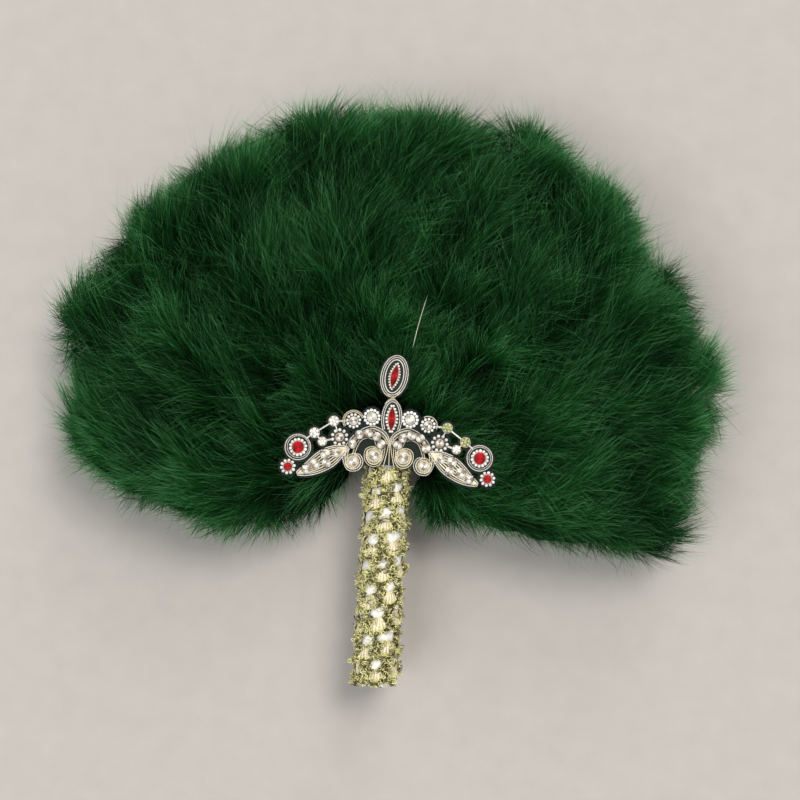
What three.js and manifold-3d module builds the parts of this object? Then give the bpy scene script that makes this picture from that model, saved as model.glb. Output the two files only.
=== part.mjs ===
// A rigid feather hand fan: marabou plumes in tiers on both faces of a fan-shaped board,
// a satin-covered tube handle wound with gold lace, and a beaded applique over the neck.
// Millimetres. The origin is the centre of the handle's butt face. +Y runs up the handle to
// the top of the fan, +X is to the right and +Z comes out of the front face.
import * as THREE from "three";
import { mergeVertices } from "three/addons/utils/BufferGeometryUtils.js";
import Module from "manifold-3d";

const wasm = await Module();
wasm.setup();

// Whole fan
const neckHeight = 168; // from the butt face to the point that the plumes radiate from
const seatGap = 0.3; // between pieces that touch
const plumeGap = 1.2; // between plumes side by side
const tierGap = 0.65; // between a plume and the tier under it
const overrun = 5; // how far a cutter runs past what it cuts

// Handle
const tube = { radius: 12.5, wall: 3, aboveNeck: 4, sides: 32 };
const plug = { flange: 2, spigot: 12, chamfer: 1 };
const sleeve = { thickness: 0.8, belowNeck: 5 };
const lace = {
  bottom: 0.8,
  belowNeck: 6.5,
  pitch: 18,
  width: 14.2,
  scallop: 3,
  web: 0.8,
  shellRise: 1.5,
  clusterRise: 1.9,
  motifSteps: 4,
  motifsPerTurn: 5.5,
};
// where the lace's section swells, as shares of its width and of its rise
const laceEdgeShare = 0.5;
const laceShellShare = 0.2;
const laceShoulderShare = 0.26;
const laceShoulderRiseShare = 0.55;

// Board and its facings
const board = {
  radius: 165,
  thickness: 3,
  tongueWidth: 24.4,
  tongueLength: 36,
  neckRun: 38,
  rimSegments: 22,
};
const boardDroop = { neck: 32, middle: 20, rim: 15 }; // degrees below level
const boardMiddleShare = 0.73;
const felt = { thickness: 1, inset: 1.5 };
const boardFitGap = 0.35; // each side of the tongue in the tube's slit

// Plumes: every tier fans out over one sector whose lower edges curl up towards the tips
const rightDroop = { tip: 12, root: 42, power: 1.5 };
const leftDroop = { tip: 3, root: 43, power: 1.2 };
const sectorRootRadius = 60;
const sectorTipRadius = 255;
const fanRadius = 268;
const straightAngle = 180; // degrees, from the right side level round to the left one

const innerRoot = 28;
const frontMiddleRoot = 60;
const outerRoot = 100;
const frontInnerTip = 128;
const frontMiddleTip = 190;
const rearInnerTip = 150;
const tierOverlap = 11; // how far a level keeps to its tier past the tips above it
// heights over the middle plane: of a tier's underside at its tips, and of tops
const underHeights = { frontInner: 26.4, frontMiddle: 30, rearInner: 11.5 };
const appliqueRadius = 82; // the applique presses the inner plumes flat within this radius
const rootHeight = 5.3;
const frontInnerTop = { crown: 34, tip: 31 };
const frontMiddleTop = { crown: 41, tip: 30 };
const outerTop = { crown: 35, tip: 18 };
const rearInnerTop = { crown: 32, tip: 26 };
const rearOuterTop = { crown: 33, tip: 18 };
// where a crown stands, as a share of the tier's reach
const innerCrownShare = 0.84;
const middleCrownShare = 0.85;
const outerCrownShare = 0.8;
const rearInnerCrownShare = 0.73;
const rearOuterCrownShare = 0.75;
const rimDrop = { from: 20, over: 15, level: 0.5 }; // past the board, plumes close on each other

// Applique: every place on it is measured from the neck, and its right side is mirrored
const appliqueLift = 17.3; // the net's underside above the handle's axis
const net = { thickness: 0.6, margin: 1.7, sides: 12 };
const netPatch = { y: 8, halfWidth: 31, halfLength: 15 };
const wire = { rise: 1.7, groove: 1.1, width: 1, radius: 0.8, sides: 6 };
const bead = { rise: 2.2, dip: 1.5, width: 2.1 };
const stoneFloor = 0.8;
const stoneClearance = 0.4;
const marquise = { halfLength: 8.9, halfWidth: 2.75, height: 3.4, facets: 12 };
const upperMotif = { x: 0.5, y: 56.2, halfLength: 15.6, halfWidth: 10, lean: -8, beads: 14, wires: 2 };
const lowerMotif = { x: 0.5, y: 25.2, halfLength: 14.2, halfWidth: 6.7, lean: 0, beads: 14, wires: 1 };
const largeRuby = { x: 65.8, y: 0.5, stone: 4.1, radius: 9.6, beads: 12, wires: 2, height: 3.6 };
const smallRuby = { x: 72.2, y: -14, stone: 3.1, radius: 5.7, beads: 10, wires: 0, height: 3 };
const rosettes = {
  white: { x: 13.9, y: 25.4, radius: 6.4, beads: 12, gem: 3.6 },
  coil: { x: 27, y: 22, radius: 6, beads: 10, gem: 3.2 },
  antique: { x: 36.3, y: 9.6, radius: 6.9, beads: 10, gem: 3.2 },
  nearLink: { x: 41.2, y: 21, radius: 4, beads: 6, gem: 2.4 },
  farLink: { x: 54.7, y: 11.6, radius: 4, beads: 6, gem: 2.4 },
  pale: { x: 48.6, y: 5.8, radius: 3.2, beads: 6, gem: 2.2 },
};
const rosetteLinks = [
  ["white", "coil"],
  ["coil", "nearLink"],
  ["nearLink", "farLink"],
  ["coil", "antique"],
  ["antique", "pale"],
  ["pale", "farLink"],
];
const gemHeight = 2.8;
const linkHeight = 0.7;
const leaf = { x: 34.5, y: -0.8, reach: 31, drop: 18, halfWidth: 7, gem: 2.5 };
const voluteSides = 16;
const innerVolute = { x: 11.2, y: -2.8, radius: 6.4, gem: 3.3 };
const outerVolute = { x: 25.3, y: -7.2, radius: 5.6, gem: 2.9 };
const volutes = [innerVolute, outerVolute];
const crystalRadius = 2.7;
const crystalSides = 6;
// the crystals stand in an arch round this middle, at these shares of a half turn from its right
const crystalArch = { x: 16.2, y: 4.6, halfWidth: 10.4, height: 9.2 };
const crystalShares = [0.94, 0.72, 0.52, 0.31, 0.02];

const materials = {
  plumeFront: new THREE.MeshStandardMaterial({ color: 0x0b4a27, roughness: 0.95, metalness: 0 }),
  plumeRear: new THREE.MeshStandardMaterial({ color: 0x093d20, roughness: 0.95, metalness: 0 }),
  card: new THREE.MeshStandardMaterial({ color: 0xb59a72, roughness: 0.9, metalness: 0 }),
  felt: new THREE.MeshStandardMaterial({ color: 0x0a3019, roughness: 1, metalness: 0 }),
  satin: new THREE.MeshStandardMaterial({ color: 0xf2ead6, roughness: 0.45, metalness: 0 }),
  lace: new THREE.MeshStandardMaterial({ color: 0xb9a84a, roughness: 0.55, metalness: 0.4 }),
  wood: new THREE.MeshStandardMaterial({ color: 0xcaa97a, roughness: 0.7, metalness: 0 }),
  net: new THREE.MeshStandardMaterial({ color: 0x1d3f33, roughness: 0.9, metalness: 0 }),
  silver: new THREE.MeshStandardMaterial({ color: 0xd9d2bd, roughness: 0.3, metalness: 0.8 }),
  ruby: new THREE.MeshStandardMaterial({ color: 0xb00c1c, roughness: 0.1, metalness: 0 }),
};

const crystals = crystalShares.map((share) => ({
  x: crystalArch.x + crystalArch.halfWidth * Math.cos(Math.PI * share),
  y: crystalArch.y + crystalArch.height * Math.sin(Math.PI * share),
}));

const fan = new THREE.Group();

function addPart(name, geometry, material) {
  const mesh = new THREE.Mesh(geometry, material);
  mesh.name = name;
  fan.add(mesh);
  return mesh;
}

// Signed volume tells which way the faces of a closed mesh look.
function signedVolume(points, triangles) {
  let sum = 0;
  for (let i = 0; i < triangles.length; i += 3) {
    const [a, b, c] = [points[triangles[i]], points[triangles[i + 1]], points[triangles[i + 2]]];
    sum += a.dot(new THREE.Vector3().crossVectors(b, c));
  }
  return sum / 6;
}

// Skins rows of points that each go once round the form, and caps the first and last row on
// their middles.
function loft(rows) {
  const count = rows[0].length;
  const points = rows.flat();
  const triangles = [];
  for (let row = 0; row < rows.length - 1; row++) {
    for (let i = 0; i < count; i++) {
      const j = (i + 1) % count;
      const [a, b] = [row * count + i, row * count + j];
      const [c, d] = [a + count, b + count];
      triangles.push(a, b, d, a, d, c);
    }
  }
  for (const [row, turned] of [[0, true], [rows.length - 1, false]]) {
    const middle = new THREE.Vector3();
    rows[row].forEach((point) => middle.add(point));
    points.push(middle.divideScalar(count));
    for (let i = 0; i < count; i++) {
      const [a, b] = [row * count + i, row * count + ((i + 1) % count)];
      triangles.push(...(turned ? [b, a] : [a, b]), points.length - 1);
    }
  }
  if (signedVolume(points, triangles) < 0) triangles.reverse();
  const geometry = new THREE.BufferGeometry().setFromPoints(points);
  geometry.setIndex(triangles);
  geometry.computeVertexNormals();
  return geometry;
}

// Turns the faces of a closed geometry outwards, after a lathe or a mirroring.
function facingOut(geometry) {
  const bare = geometry.clone();
  bare.deleteAttribute("normal");
  if (bare.getAttribute("uv")) bare.deleteAttribute("uv");
  const merged = mergeVertices(bare);
  const places = merged.getAttribute("position");
  const points = Array.from({ length: places.count }, (_, i) =>
    new THREE.Vector3().fromBufferAttribute(places, i),
  );
  const triangles = Array.from(merged.index.array);
  if (signedVolume(points, triangles) < 0) triangles.reverse();
  merged.setIndex(triangles);
  merged.computeVertexNormals();
  return merged;
}

function mirrored(geometry) {
  return facingOut(geometry.clone().scale(-1, 1, 1));
}

function solidFrom(geometry) {
  const bare = geometry.clone();
  bare.deleteAttribute("normal");
  if (bare.getAttribute("uv")) bare.deleteAttribute("uv");
  const merged = mergeVertices(bare);
  return new wasm.Manifold(
    new wasm.Mesh({
      numProp: 3,
      vertProperties: new Float32Array(merged.getAttribute("position").array),
      triVerts: new Uint32Array(merged.index.array),
    }),
  );
}

function geometryFrom(solid) {
  const { vertProperties, triVerts } = solid.getMesh();
  const geometry = new THREE.BufferGeometry();
  geometry.setAttribute("position", new THREE.BufferAttribute(vertProperties, 3));
  geometry.setIndex(new THREE.BufferAttribute(triVerts, 1));
  geometry.computeVertexNormals();
  return geometry;
}

function joined(geometries) {
  return geometryFrom(geometries.map(solidFrom).reduce((all, next) => all.add(next)));
}

function cutBy(geometry, ...cutters) {
  return geometryFrom(
    cutters.map(solidFrom).reduce((rest, cutter) => rest.subtract(cutter), solidFrom(geometry)),
  );
}

// A round bar along Y from one height to another.
function barAlongY(radius, from, to, sides) {
  return new THREE.CylinderGeometry(radius, radius, to - from, sides).translate(
    0,
    (from + to) / 2,
    0,
  );
}

function boxFromTo(low, high) {
  const size = new THREE.Vector3().subVectors(high, low);
  const middle = new THREE.Vector3().addVectors(low, high).divideScalar(2);
  return new THREE.BoxGeometry(size.x, size.y, size.z).translate(middle.x, middle.y, middle.z);
}

// A polygon's true flats lie inside its circle, so a piece round a bar clears it by this factor.
const roundingShare = 1 / Math.cos(Math.PI / tube.sides);

const sleeveInnerRadius = (tube.radius + seatGap) * roundingShare;
const sleeveOuterRadius = sleeveInnerRadius + sleeve.thickness;
const tubeTop = neckHeight + tube.aboveNeck;
const sleeveTop = neckHeight - sleeve.belowNeck;
const laceTop = neckHeight - lace.belowNeck;
const laceTurns = Math.ceil((laceTop - lace.bottom + lace.width + lace.scallop) / lace.pitch);
const laceSteps = lace.motifSteps * lace.motifsPerTurn; // in a turn
const laceInnerRadius = (sleeveOuterRadius + seatGap) / Math.cos(Math.PI / laceSteps);
const laceSkinRadius = laceInnerRadius + lace.web;
const laceOuterRadius = laceSkinRadius + Math.max(lace.shellRise, lace.clusterRise);

// Handle tube: card tube with a slit across its top for the board's tongue.
function handleTube() {
  const bottom = plug.flange + seatGap;
  const body = barAlongY(tube.radius, bottom, tubeTop, tube.sides);
  const bore = barAlongY(tube.radius - tube.wall, bottom - overrun, tubeTop + overrun, tube.sides);
  const slitHalf = board.thickness / 2 + boardFitGap;
  const slitBottom = neckHeight - board.tongueLength - boardFitGap;
  const slit = boxFromTo(
    new THREE.Vector3(-tube.radius - overrun, slitBottom, -slitHalf),
    new THREE.Vector3(tube.radius + overrun, tubeTop + overrun, slitHalf),
  );
  return cutBy(body, bore, slit);
}

// Butt plug: a turned disc with a spigot that closes the tube's lower end.
function buttPlug() {
  const spigotRadius = tube.radius - tube.wall - seatGap;
  const profile = [
    new THREE.Vector2(0, 0),
    new THREE.Vector2(tube.radius - plug.chamfer, 0),
    new THREE.Vector2(tube.radius, plug.chamfer),
    new THREE.Vector2(tube.radius, plug.flange),
    new THREE.Vector2(spigotRadius, plug.flange),
    new THREE.Vector2(spigotRadius, plug.flange + plug.spigot - plug.chamfer),
    new THREE.Vector2(spigotRadius - plug.chamfer, plug.flange + plug.spigot),
    new THREE.Vector2(0, plug.flange + plug.spigot),
  ];
  return facingOut(new THREE.LatheGeometry(profile, tube.sides));
}

// Satin sleeve: a thin stitched cover round the tube, from the plug's face to under the applique.
function satinSleeve() {
  const profile = [
    new THREE.Vector2(sleeveInnerRadius, seatGap),
    new THREE.Vector2(sleeveOuterRadius, seatGap),
    new THREE.Vector2(sleeveOuterRadius, sleeveTop),
    new THREE.Vector2(sleeveInnerRadius, sleeveTop),
    new THREE.Vector2(sleeveInnerRadius, seatGap),
  ];
  return facingOut(new THREE.LatheGeometry(profile, tube.sides));
}

// Lace: one band wound up the handle in a helix and trimmed level at both ends. Its lower edge
// hangs in scallops, each below a raised shell, with thick clusters of gold thread between them.
function laceWinding() {
  const rows = [];
  for (let step = 0; step <= laceTurns * laceSteps; step++) {
    const angle = (2 * Math.PI * step) / laceSteps;
    const phase = (2 * Math.PI * step) / lace.motifSteps;
    const shell = (1 - Math.cos(phase)) / 2;
    const middle = lace.bottom - lace.width / 2 + (lace.pitch * step) / laceSteps;
    const edge = middle - lace.width / 2 - lace.scallop * shell;
    const rise = lace.shellRise * shell + lace.clusterRise * (1 - shell);
    const section = [
      [edge, laceInnerRadius],
      [edge, laceSkinRadius + lace.clusterRise * laceEdgeShare],
      [middle - lace.width * laceShellShare, laceSkinRadius + rise],
      [middle + lace.width * laceShoulderShare, laceSkinRadius + rise * laceShoulderRiseShare],
      [middle + lace.width / 2, laceSkinRadius],
      [middle + lace.width / 2, laceInnerRadius],
    ];
    rows.push(
      section.map(
        ([y, radius]) => new THREE.Vector3(radius * Math.sin(angle), y, radius * Math.cos(angle)),
      ),
    );
  }
  console.log("lace winding clears itself by", leastGap(rows).toFixed(2), "mm");
  const reach = laceOuterRadius + overrun;
  const trims = [
    [lace.bottom - lace.pitch - lace.width, lace.bottom],
    [laceTop, laceTop + lace.pitch + lace.width],
  ].map(([from, to]) =>
    boxFromTo(new THREE.Vector3(-reach, from, -reach), new THREE.Vector3(reach, to, reach)),
  );
  return cutBy(loft(rows), ...trims);
}

// Least distance, on points, between parts of the winding that lie half a turn or more apart.
function leastGap(rows) {
  const halfTurn = laceSteps / 2;
  let least = Infinity;
  for (let i = halfTurn; i < rows.length; i++) {
    for (let j = 0; j <= i - halfTurn; j++) {
      for (const a of rows[i]) {
        for (const b of rows[j]) least = Math.min(least, a.distanceTo(b));
      }
    }
  }
  return least;
}

function polar(radius, degrees) {
  const angle = THREE.MathUtils.degToRad(degrees);
  return new THREE.Vector2(radius * Math.cos(angle), neckHeight + radius * Math.sin(angle));
}

// The fan-shaped outline: an arc round the top, two drooping lower edges, and at the neck a step
// that passes over the sleeve and the lace. Only the board itself has the tongue.
function fanShape(radius, inset, withTongue) {
  const halfTongue = board.tongueWidth / 2;
  const neckTop = sleeveTop + seatGap + inset;
  const step = laceOuterRadius + seatGap;
  const neck = polar(board.neckRun, -boardDroop.neck);
  const middle = polar(radius * boardMiddleShare, -boardDroop.middle);
  const edge = [
    new THREE.Vector2(step, neckTop),
    new THREE.Vector2(neck.x, neck.y + inset),
    new THREE.Vector2(middle.x, middle.y + inset),
  ];
  if (withTongue) {
    edge.unshift(
      new THREE.Vector2(halfTongue, neckHeight - board.tongueLength),
      new THREE.Vector2(halfTongue, neckTop),
    );
  }
  const shape = new THREE.Shape(edge);
  const droop = THREE.MathUtils.degToRad(boardDroop.rim);
  shape.absarc(0, neckHeight, radius - inset, -droop, Math.PI + droop, false);
  edge.reverse().forEach((point) => shape.lineTo(-point.x, point.y));
  return shape;
}

function flatSheet(shape, from, to, curveSegments) {
  const sheet = new THREE.ExtrudeGeometry(shape, {
    depth: to - from,
    bevelEnabled: false,
    curveSegments,
  });
  return sheet.translate(0, 0, from);
}

function coreBoard() {
  const half = board.thickness / 2;
  return flatSheet(fanShape(board.radius, 0, true), -half, half, board.rimSegments);
}

// A facing covers one side of the board and stops short of the handle.
function facing(side) {
  const near = board.thickness / 2 + seatGap;
  const far = near + felt.thickness;
  const [from, to] = side > 0 ? [near, far] : [-far, -near];
  const shape = fanShape(board.radius, felt.inset, false);
  const handle = barAlongY(
    laceOuterRadius + seatGap,
    sleeveTop - board.tongueLength,
    tubeTop + seatGap,
    tube.sides,
  );
  return cutBy(flatSheet(shape, from, to, board.rimSegments), handle);
}

// Plumes
const feltTop = board.thickness / 2 + seatGap + felt.thickness;

// How far below level the sector's lower edge lies at a radius, on one side.
function droopAt(radius, droop) {
  const reach = sectorTipRadius - sectorRootRadius;
  const share = THREE.MathUtils.clamp((sectorTipRadius - radius) / reach, 0, 1);
  return droop.tip + (droop.root - droop.tip) * share ** droop.power;
}

// The angle of a place across the sector, from 0 at its right edge to 1 at its left one.
function sectorAngle(place, radius) {
  const right = -droopAt(radius, rightDroop);
  const left = straightAngle + droopAt(radius, leftDroop);
  return right + (left - right) * place;
}

// The level that parts one tier from the tier that lies on it: flat on the felt at the upper
// tier's roots, rising to a height at a radius.
function interfaceLevel(rootRadius, atRadius, atHeight) {
  const steepness = (atHeight - feltTop) / (atRadius - rootRadius) ** 2;
  return (radius) => feltTop + steepness * Math.max(0, radius - rootRadius) ** 2;
}

// A level that follows given heights at given radii.
function tableLevel(places) {
  return (radius) => {
    const after = places.findIndex(([at]) => at >= radius);
    if (after === 0) return places[0][1];
    if (after < 0) return places[places.length - 1][1];
    const [[r0, z0], [r1, z1]] = [places[after - 1], places[after]];
    return z0 + ((z1 - z0) * (radius - r0)) / (r1 - r0);
  };
}

const underInner = interfaceLevel(innerRoot, frontInnerTip, underHeights.frontInner);
const underMiddle = interfaceLevel(frontMiddleRoot, frontMiddleTip, underHeights.frontMiddle);
const underRearInner = interfaceLevel(innerRoot, rearInnerTip, underHeights.rearInner);

// The outer tier lies on the felt, and past the board's rim it sags to the middle plane.
function underOuter(radius) {
  const past = (radius - board.radius - rimDrop.from) / rimDrop.over;
  const onFelt = feltTop + seatGap;
  return THREE.MathUtils.lerp(onFelt, rimDrop.level, THREE.MathUtils.clamp(past, 0, 1));
}

// A tier's top follows the underside of the tier above it as far as that reaches, then rises
// to its crown and falls to its tips.
function coveredTop(level, coveredTo, reach, crownShare, top) {
  const open = tableLevel([
    [coveredTo, level(coveredTo)],
    [reach * crownShare, top.crown],
    [reach, top.tip],
  ]);
  return (radius) => (radius < coveredTo ? level(radius) : open(radius));
}

const plumeTiers = {
  front_outer: {
    side: 1,
    material: materials.plumeFront,
    root: outerRoot,
    tipShares: [0.9, 0.935, 0.94, 0.95, 1, 0.995, 0.99, 0.965, 0.985, 0.995, 0.95],
    reach: fanRadius,
    bottom: underOuter,
    top: coveredTop(underMiddle, frontMiddleTip + tierOverlap, fanRadius, outerCrownShare, outerTop),
  },
  front_middle: {
    side: 1,
    material: materials.plumeFront,
    root: frontMiddleRoot,
    tipShares: [0.93, 0.97, 1, 0.95, 0.99, 0.96, 1, 0.92],
    reach: frontMiddleTip,
    bottom: (radius) => underMiddle(radius) + tierGap,
    top: coveredTop(
      underInner,
      frontInnerTip + tierOverlap,
      frontMiddleTip,
      middleCrownShare,
      frontMiddleTop,
    ),
  },
  front_inner: {
    side: 1,
    material: materials.plumeFront,
    root: innerRoot,
    tipShares: [0.95, 1, 0.96, 1, 0.94],
    reach: frontInnerTip,
    bottom: (radius) => underInner(radius) + tierGap,
    top: tableLevel([
      [innerRoot, rootHeight],
      [(innerRoot + appliqueRadius) / 2, appliqueLift - seatGap],
      [appliqueRadius, appliqueLift - seatGap],
      [frontInnerTip * innerCrownShare, frontInnerTop.crown],
      [frontInnerTip, frontInnerTop.tip],
    ]),
  },
  rear_outer: {
    side: -1,
    material: materials.plumeRear,
    root: outerRoot,
    tipShares: [0.85, 0.93, 0.97, 0.985, 0.97, 0.975, 0.93],
    reach: fanRadius,
    bottom: underOuter,
    top: coveredTop(
      underRearInner,
      rearInnerTip + 2 * tierOverlap,
      fanRadius,
      rearOuterCrownShare,
      rearOuterTop,
    ),
  },
  rear_inner: {
    side: -1,
    material: materials.plumeRear,
    root: innerRoot,
    tipShares: [0.95, 1, 0.98, 0.96],
    reach: rearInnerTip,
    bottom: (radius) => underRearInner(radius) + tierGap,
    top: tableLevel([
      [innerRoot, rootHeight],
      [rearInnerTip * rearInnerCrownShare, rearInnerTop.crown],
      [rearInnerTip, rearInnerTop.tip],
    ]),
  },
};

// Rows of a plume from its quill to its tip: place along it, width and height. The barbs lie in
// overlapping tufts, so each tuft widens towards the tip and then steps back.
const plumeRowShares = [
  [0, 0.3, 0.55],
  [0.1, 0.85, 0.85],
  [0.21, 1, 1],
  [0.24, 0.9, 0.9],
  [0.37, 1, 1],
  [0.41, 0.91, 0.9],
  [0.54, 1, 1],
  [0.58, 0.91, 0.9],
  [0.72, 1, 1],
  [0.76, 0.92, 0.88],
  [0.88, 0.97, 0.86],
  [0.95, 0.78, 0.68],
  [1, 0.42, 0.32],
];
// Section of a plume: place across it and height.
const plumeSectionShares = [
  [-0.8, 0],
  [0.8, 0],
  [1, 0.34],
  [0.66, 0.83],
  [0, 1],
  [-0.66, 0.83],
  [-1, 0.34],
];

function plume(tier, index) {
  const count = tier.tipShares.length;
  const tip = tier.reach * tier.tipShares[index];
  const rows = plumeRowShares.map(([along, widthShare, heightShare]) => {
    const radius = THREE.MathUtils.lerp(tier.root, tip, along);
    const sweep = THREE.MathUtils.degToRad(sectorAngle(1, radius) - sectorAngle(0, radius));
    const halfShare = (1 / count - plumeGap / (radius * sweep)) / 2;
    const low = tier.bottom(radius);
    const high = tier.top(radius);
    return plumeSectionShares.map(([across, up]) => {
      const place = (index + 1 / 2) / count + halfShare * widthShare * across;
      const spot = polar(radius, sectorAngle(place, radius));
      const height = low + (high - low) * heightShare * up;
      return new THREE.Vector3(spot.x, spot.y, tier.side * height);
    });
  });
  return loft(rows);
}

// Applique: each motif is a flat form, made about its own middle and then set on the net.
const appliqueTop = appliqueLift + net.thickness + seatGap;

function setOn(geometry, x, y, lean = 0) {
  return geometry
    .rotateZ(THREE.MathUtils.degToRad(lean))
    .translate(x, neckHeight + y, appliqueTop);
}

function oval(halfWidth, halfLength) {
  return (angle) => {
    const [c, s] = [Math.cos(angle) / halfWidth, Math.sin(angle) / halfLength];
    return 1 / Math.hypot(c, s);
  };
}

// A pointed oval, as two arcs that meet at the tips.
function navette(halfWidth, halfLength) {
  const arcRadius = (halfLength ** 2 + halfWidth ** 2) / (2 * halfWidth);
  const offset = arcRadius - halfWidth;
  return (angle) => {
    const c = Math.abs(Math.cos(angle)) * offset;
    return Math.sqrt(c ** 2 + arcRadius ** 2 - offset ** 2) - c;
  };
}

// A form built up from rings round one middle. A ring is an outline, its offset, its height and
// how much lower it dips between beads.
function roundel(steps, rings) {
  return loft(
    rings.map(([outline, offset, height, dip = 0]) =>
      Array.from({ length: steps }, (_, i) => {
        const angle = (2 * Math.PI * i) / steps;
        const between = i % 2;
        const radius = outline(angle) + offset - (dip * between) / 2;
        return new THREE.Vector3(
          radius * Math.cos(angle),
          radius * Math.sin(angle),
          Math.max(0, height - dip * between),
        );
      }),
    ),
  );
}

// A setting: two wires round the edge, a ring of beads and a seat for the stone.
function setting(edge, stone, beads, wires) {
  const rings = [[edge, 0, 0]];
  for (let i = 0; i < wires; i++) {
    rings.push([edge, -2 * i * wire.width, wire.rise]);
    rings.push([edge, -(2 * i + 1) * wire.width, wire.groove]);
  }
  const beadDip = bead.rise - bead.dip;
  rings.push([stone, stoneClearance + bead.width, wires ? bead.dip : wire.groove, 0]);
  rings.push([stone, stoneClearance + bead.width / 2, bead.rise, beadDip]);
  rings.push([stone, stoneClearance, bead.dip, 0]);
  rings.push([stone, stoneClearance, stoneFloor, 0]);
  return roundel(2 * beads, rings);
}

// A faceted stone: pavilion, girdle, crown and flat table.
const pavilionShare = -0.12;
const tableShare = 0.42;
const girdleShare = 0.45;
function stone(outline, size, height, facets) {
  const low = stoneFloor + stoneClearance;
  return roundel(facets, [
    [outline, pavilionShare * size, low],
    [outline, 0, low + girdleShare * (height - low)],
    [(angle) => outline(angle) * (1 - tableShare), 0, height],
  ]);
}

function circle(radius) {
  return () => radius;
}

// A rosette or volute: a rim that beads or a coil scallop, a groove and a domed gem.
const gemCrownShare = 0.5;
function jewel(radius, gem, beads) {
  const dip = beads ? bead.rise - bead.dip : 0;
  const steps = beads ? 2 * beads : voluteSides;
  return roundel(steps, [
    [circle(radius), 0, 0, dip],
    [circle(radius), -wire.width / 2, beads ? bead.rise : wire.rise, dip],
    [circle(gem), wire.width / 2, wire.groove],
    [circle(gem), 0, bead.dip],
    [circle(gem * gemCrownShare), 0, gemHeight],
  ]);
}

function crystal(radius) {
  return roundel(crystalSides, [
    [circle(radius), 0, 0],
    [circle(radius), 0, wire.groove],
    [circle(radius * gemCrownShare), 0, gemHeight],
  ]);
}

// A flat link from one place to another.
function link(from, to) {
  const length = Math.hypot(to.x - from.x, to.y - from.y);
  const bar = new THREE.BoxGeometry(length, 2 * wire.radius, linkHeight);
  bar.rotateZ(Math.atan2(to.y - from.y, to.x - from.x));
  return bar.translate((from.x + to.x) / 2, (from.y + to.y) / 2, linkHeight / 2);
}

function rosetteChain() {
  const forms = Object.values(rosettes).map(({ x, y, radius, gem, beads }) =>
    jewel(radius, gem, beads).translate(x, y, 0),
  );
  const links = rosetteLinks.map(([from, to]) => link(rosettes[from], rosettes[to]));
  return joined([...forms, ...links]);
}

// Leaf: a curved tapering plate with a raised wire edge. Its rows are places along its spine,
// as shares of its reach and drop, and its half width there.
const leafRowShares = [
  [0, 0, 0.42],
  [0.12, 0.1, 0.74],
  [0.28, 0.26, 0.97],
  [0.44, 0.46, 1],
  [0.6, 0.65, 0.86],
  [0.76, 0.82, 0.62],
  [0.9, 0.94, 0.36],
  [1, 1, 0.14],
];
const leafGemShares = [
  [0.16, 0.16],
  [0.4, 0.38],
  [0.58, 0.64],
  [0.78, 0.84],
];

function leafPlace([along, down]) {
  return new THREE.Vector2(leaf.x + leaf.reach * along, leaf.y - leaf.drop * down);
}

// Points across the leaf at each row, at a distance in from its edge.
function leafEdge(inFromEdge) {
  return leafRowShares.map((row, i) => {
    const before = leafPlace(leafRowShares[Math.max(0, i - 1)]);
    const after = leafPlace(leafRowShares[Math.min(leafRowShares.length - 1, i + 1)]);
    const across = after.sub(before).normalize().rotateAround(new THREE.Vector2(), Math.PI / 2);
    const half = Math.max(leaf.halfWidth * row[2] - inFromEdge, (leaf.halfWidth * row[2]) / 2);
    return [
      leafPlace(row).addScaledVector(across, half),
      leafPlace(row).addScaledVector(across, -half),
    ];
  });
}

function leafWing() {
  const [outer, inner] = [leafEdge(0), leafEdge(wire.width)];
  const rows = outer.map(([top, bottom], i) => {
    const [innerTop, innerBottom] = inner[i];
    return [
      [bottom, 0],
      [top, 0],
      [top, wire.rise],
      [innerTop, wire.rise],
      [innerTop, wire.groove],
      [innerBottom, wire.groove],
      [innerBottom, wire.rise],
      [bottom, wire.rise],
    ].map(([spot, height]) => new THREE.Vector3(spot.x, spot.y, height));
  });
  const gems = leafGemShares.map((share) => {
    const spot = leafPlace(share);
    return crystal(leaf.gem).translate(spot.x, spot.y, 0);
  });
  return joined([loft(rows), ...gems]);
}

// Scrollwork: crystals and volutes on one bent wire a side, joined across the middle.
function scrollwork() {
  const places = [innerVolute, ...crystals, outerVolute];
  const route = new THREE.CatmullRomCurve3(
    places.map(({ x, y }) => new THREE.Vector3(x, y, wire.radius)),
  );
  const section = new THREE.Shape();
  section.absarc(0, 0, wire.radius, 0, 2 * Math.PI, false);
  const bent = new THREE.ExtrudeGeometry(section, {
    steps: 2 * places.length,
    curveSegments: wire.sides / 2,
    bevelEnabled: false,
    extrudePath: route,
  });
  const half = joined([
    facingOut(bent),
    ...volutes.map(({ x, y, radius, gem }) => jewel(radius, gem, 0).translate(x, y, 0)),
    ...crystals.map(({ x, y }) => crystal(crystalRadius).translate(x, y, 0)),
  ]);
  const [first] = crystals;
  return joined([half, mirrored(half), link({ x: -first.x, y: first.y }, first)]);
}

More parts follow.
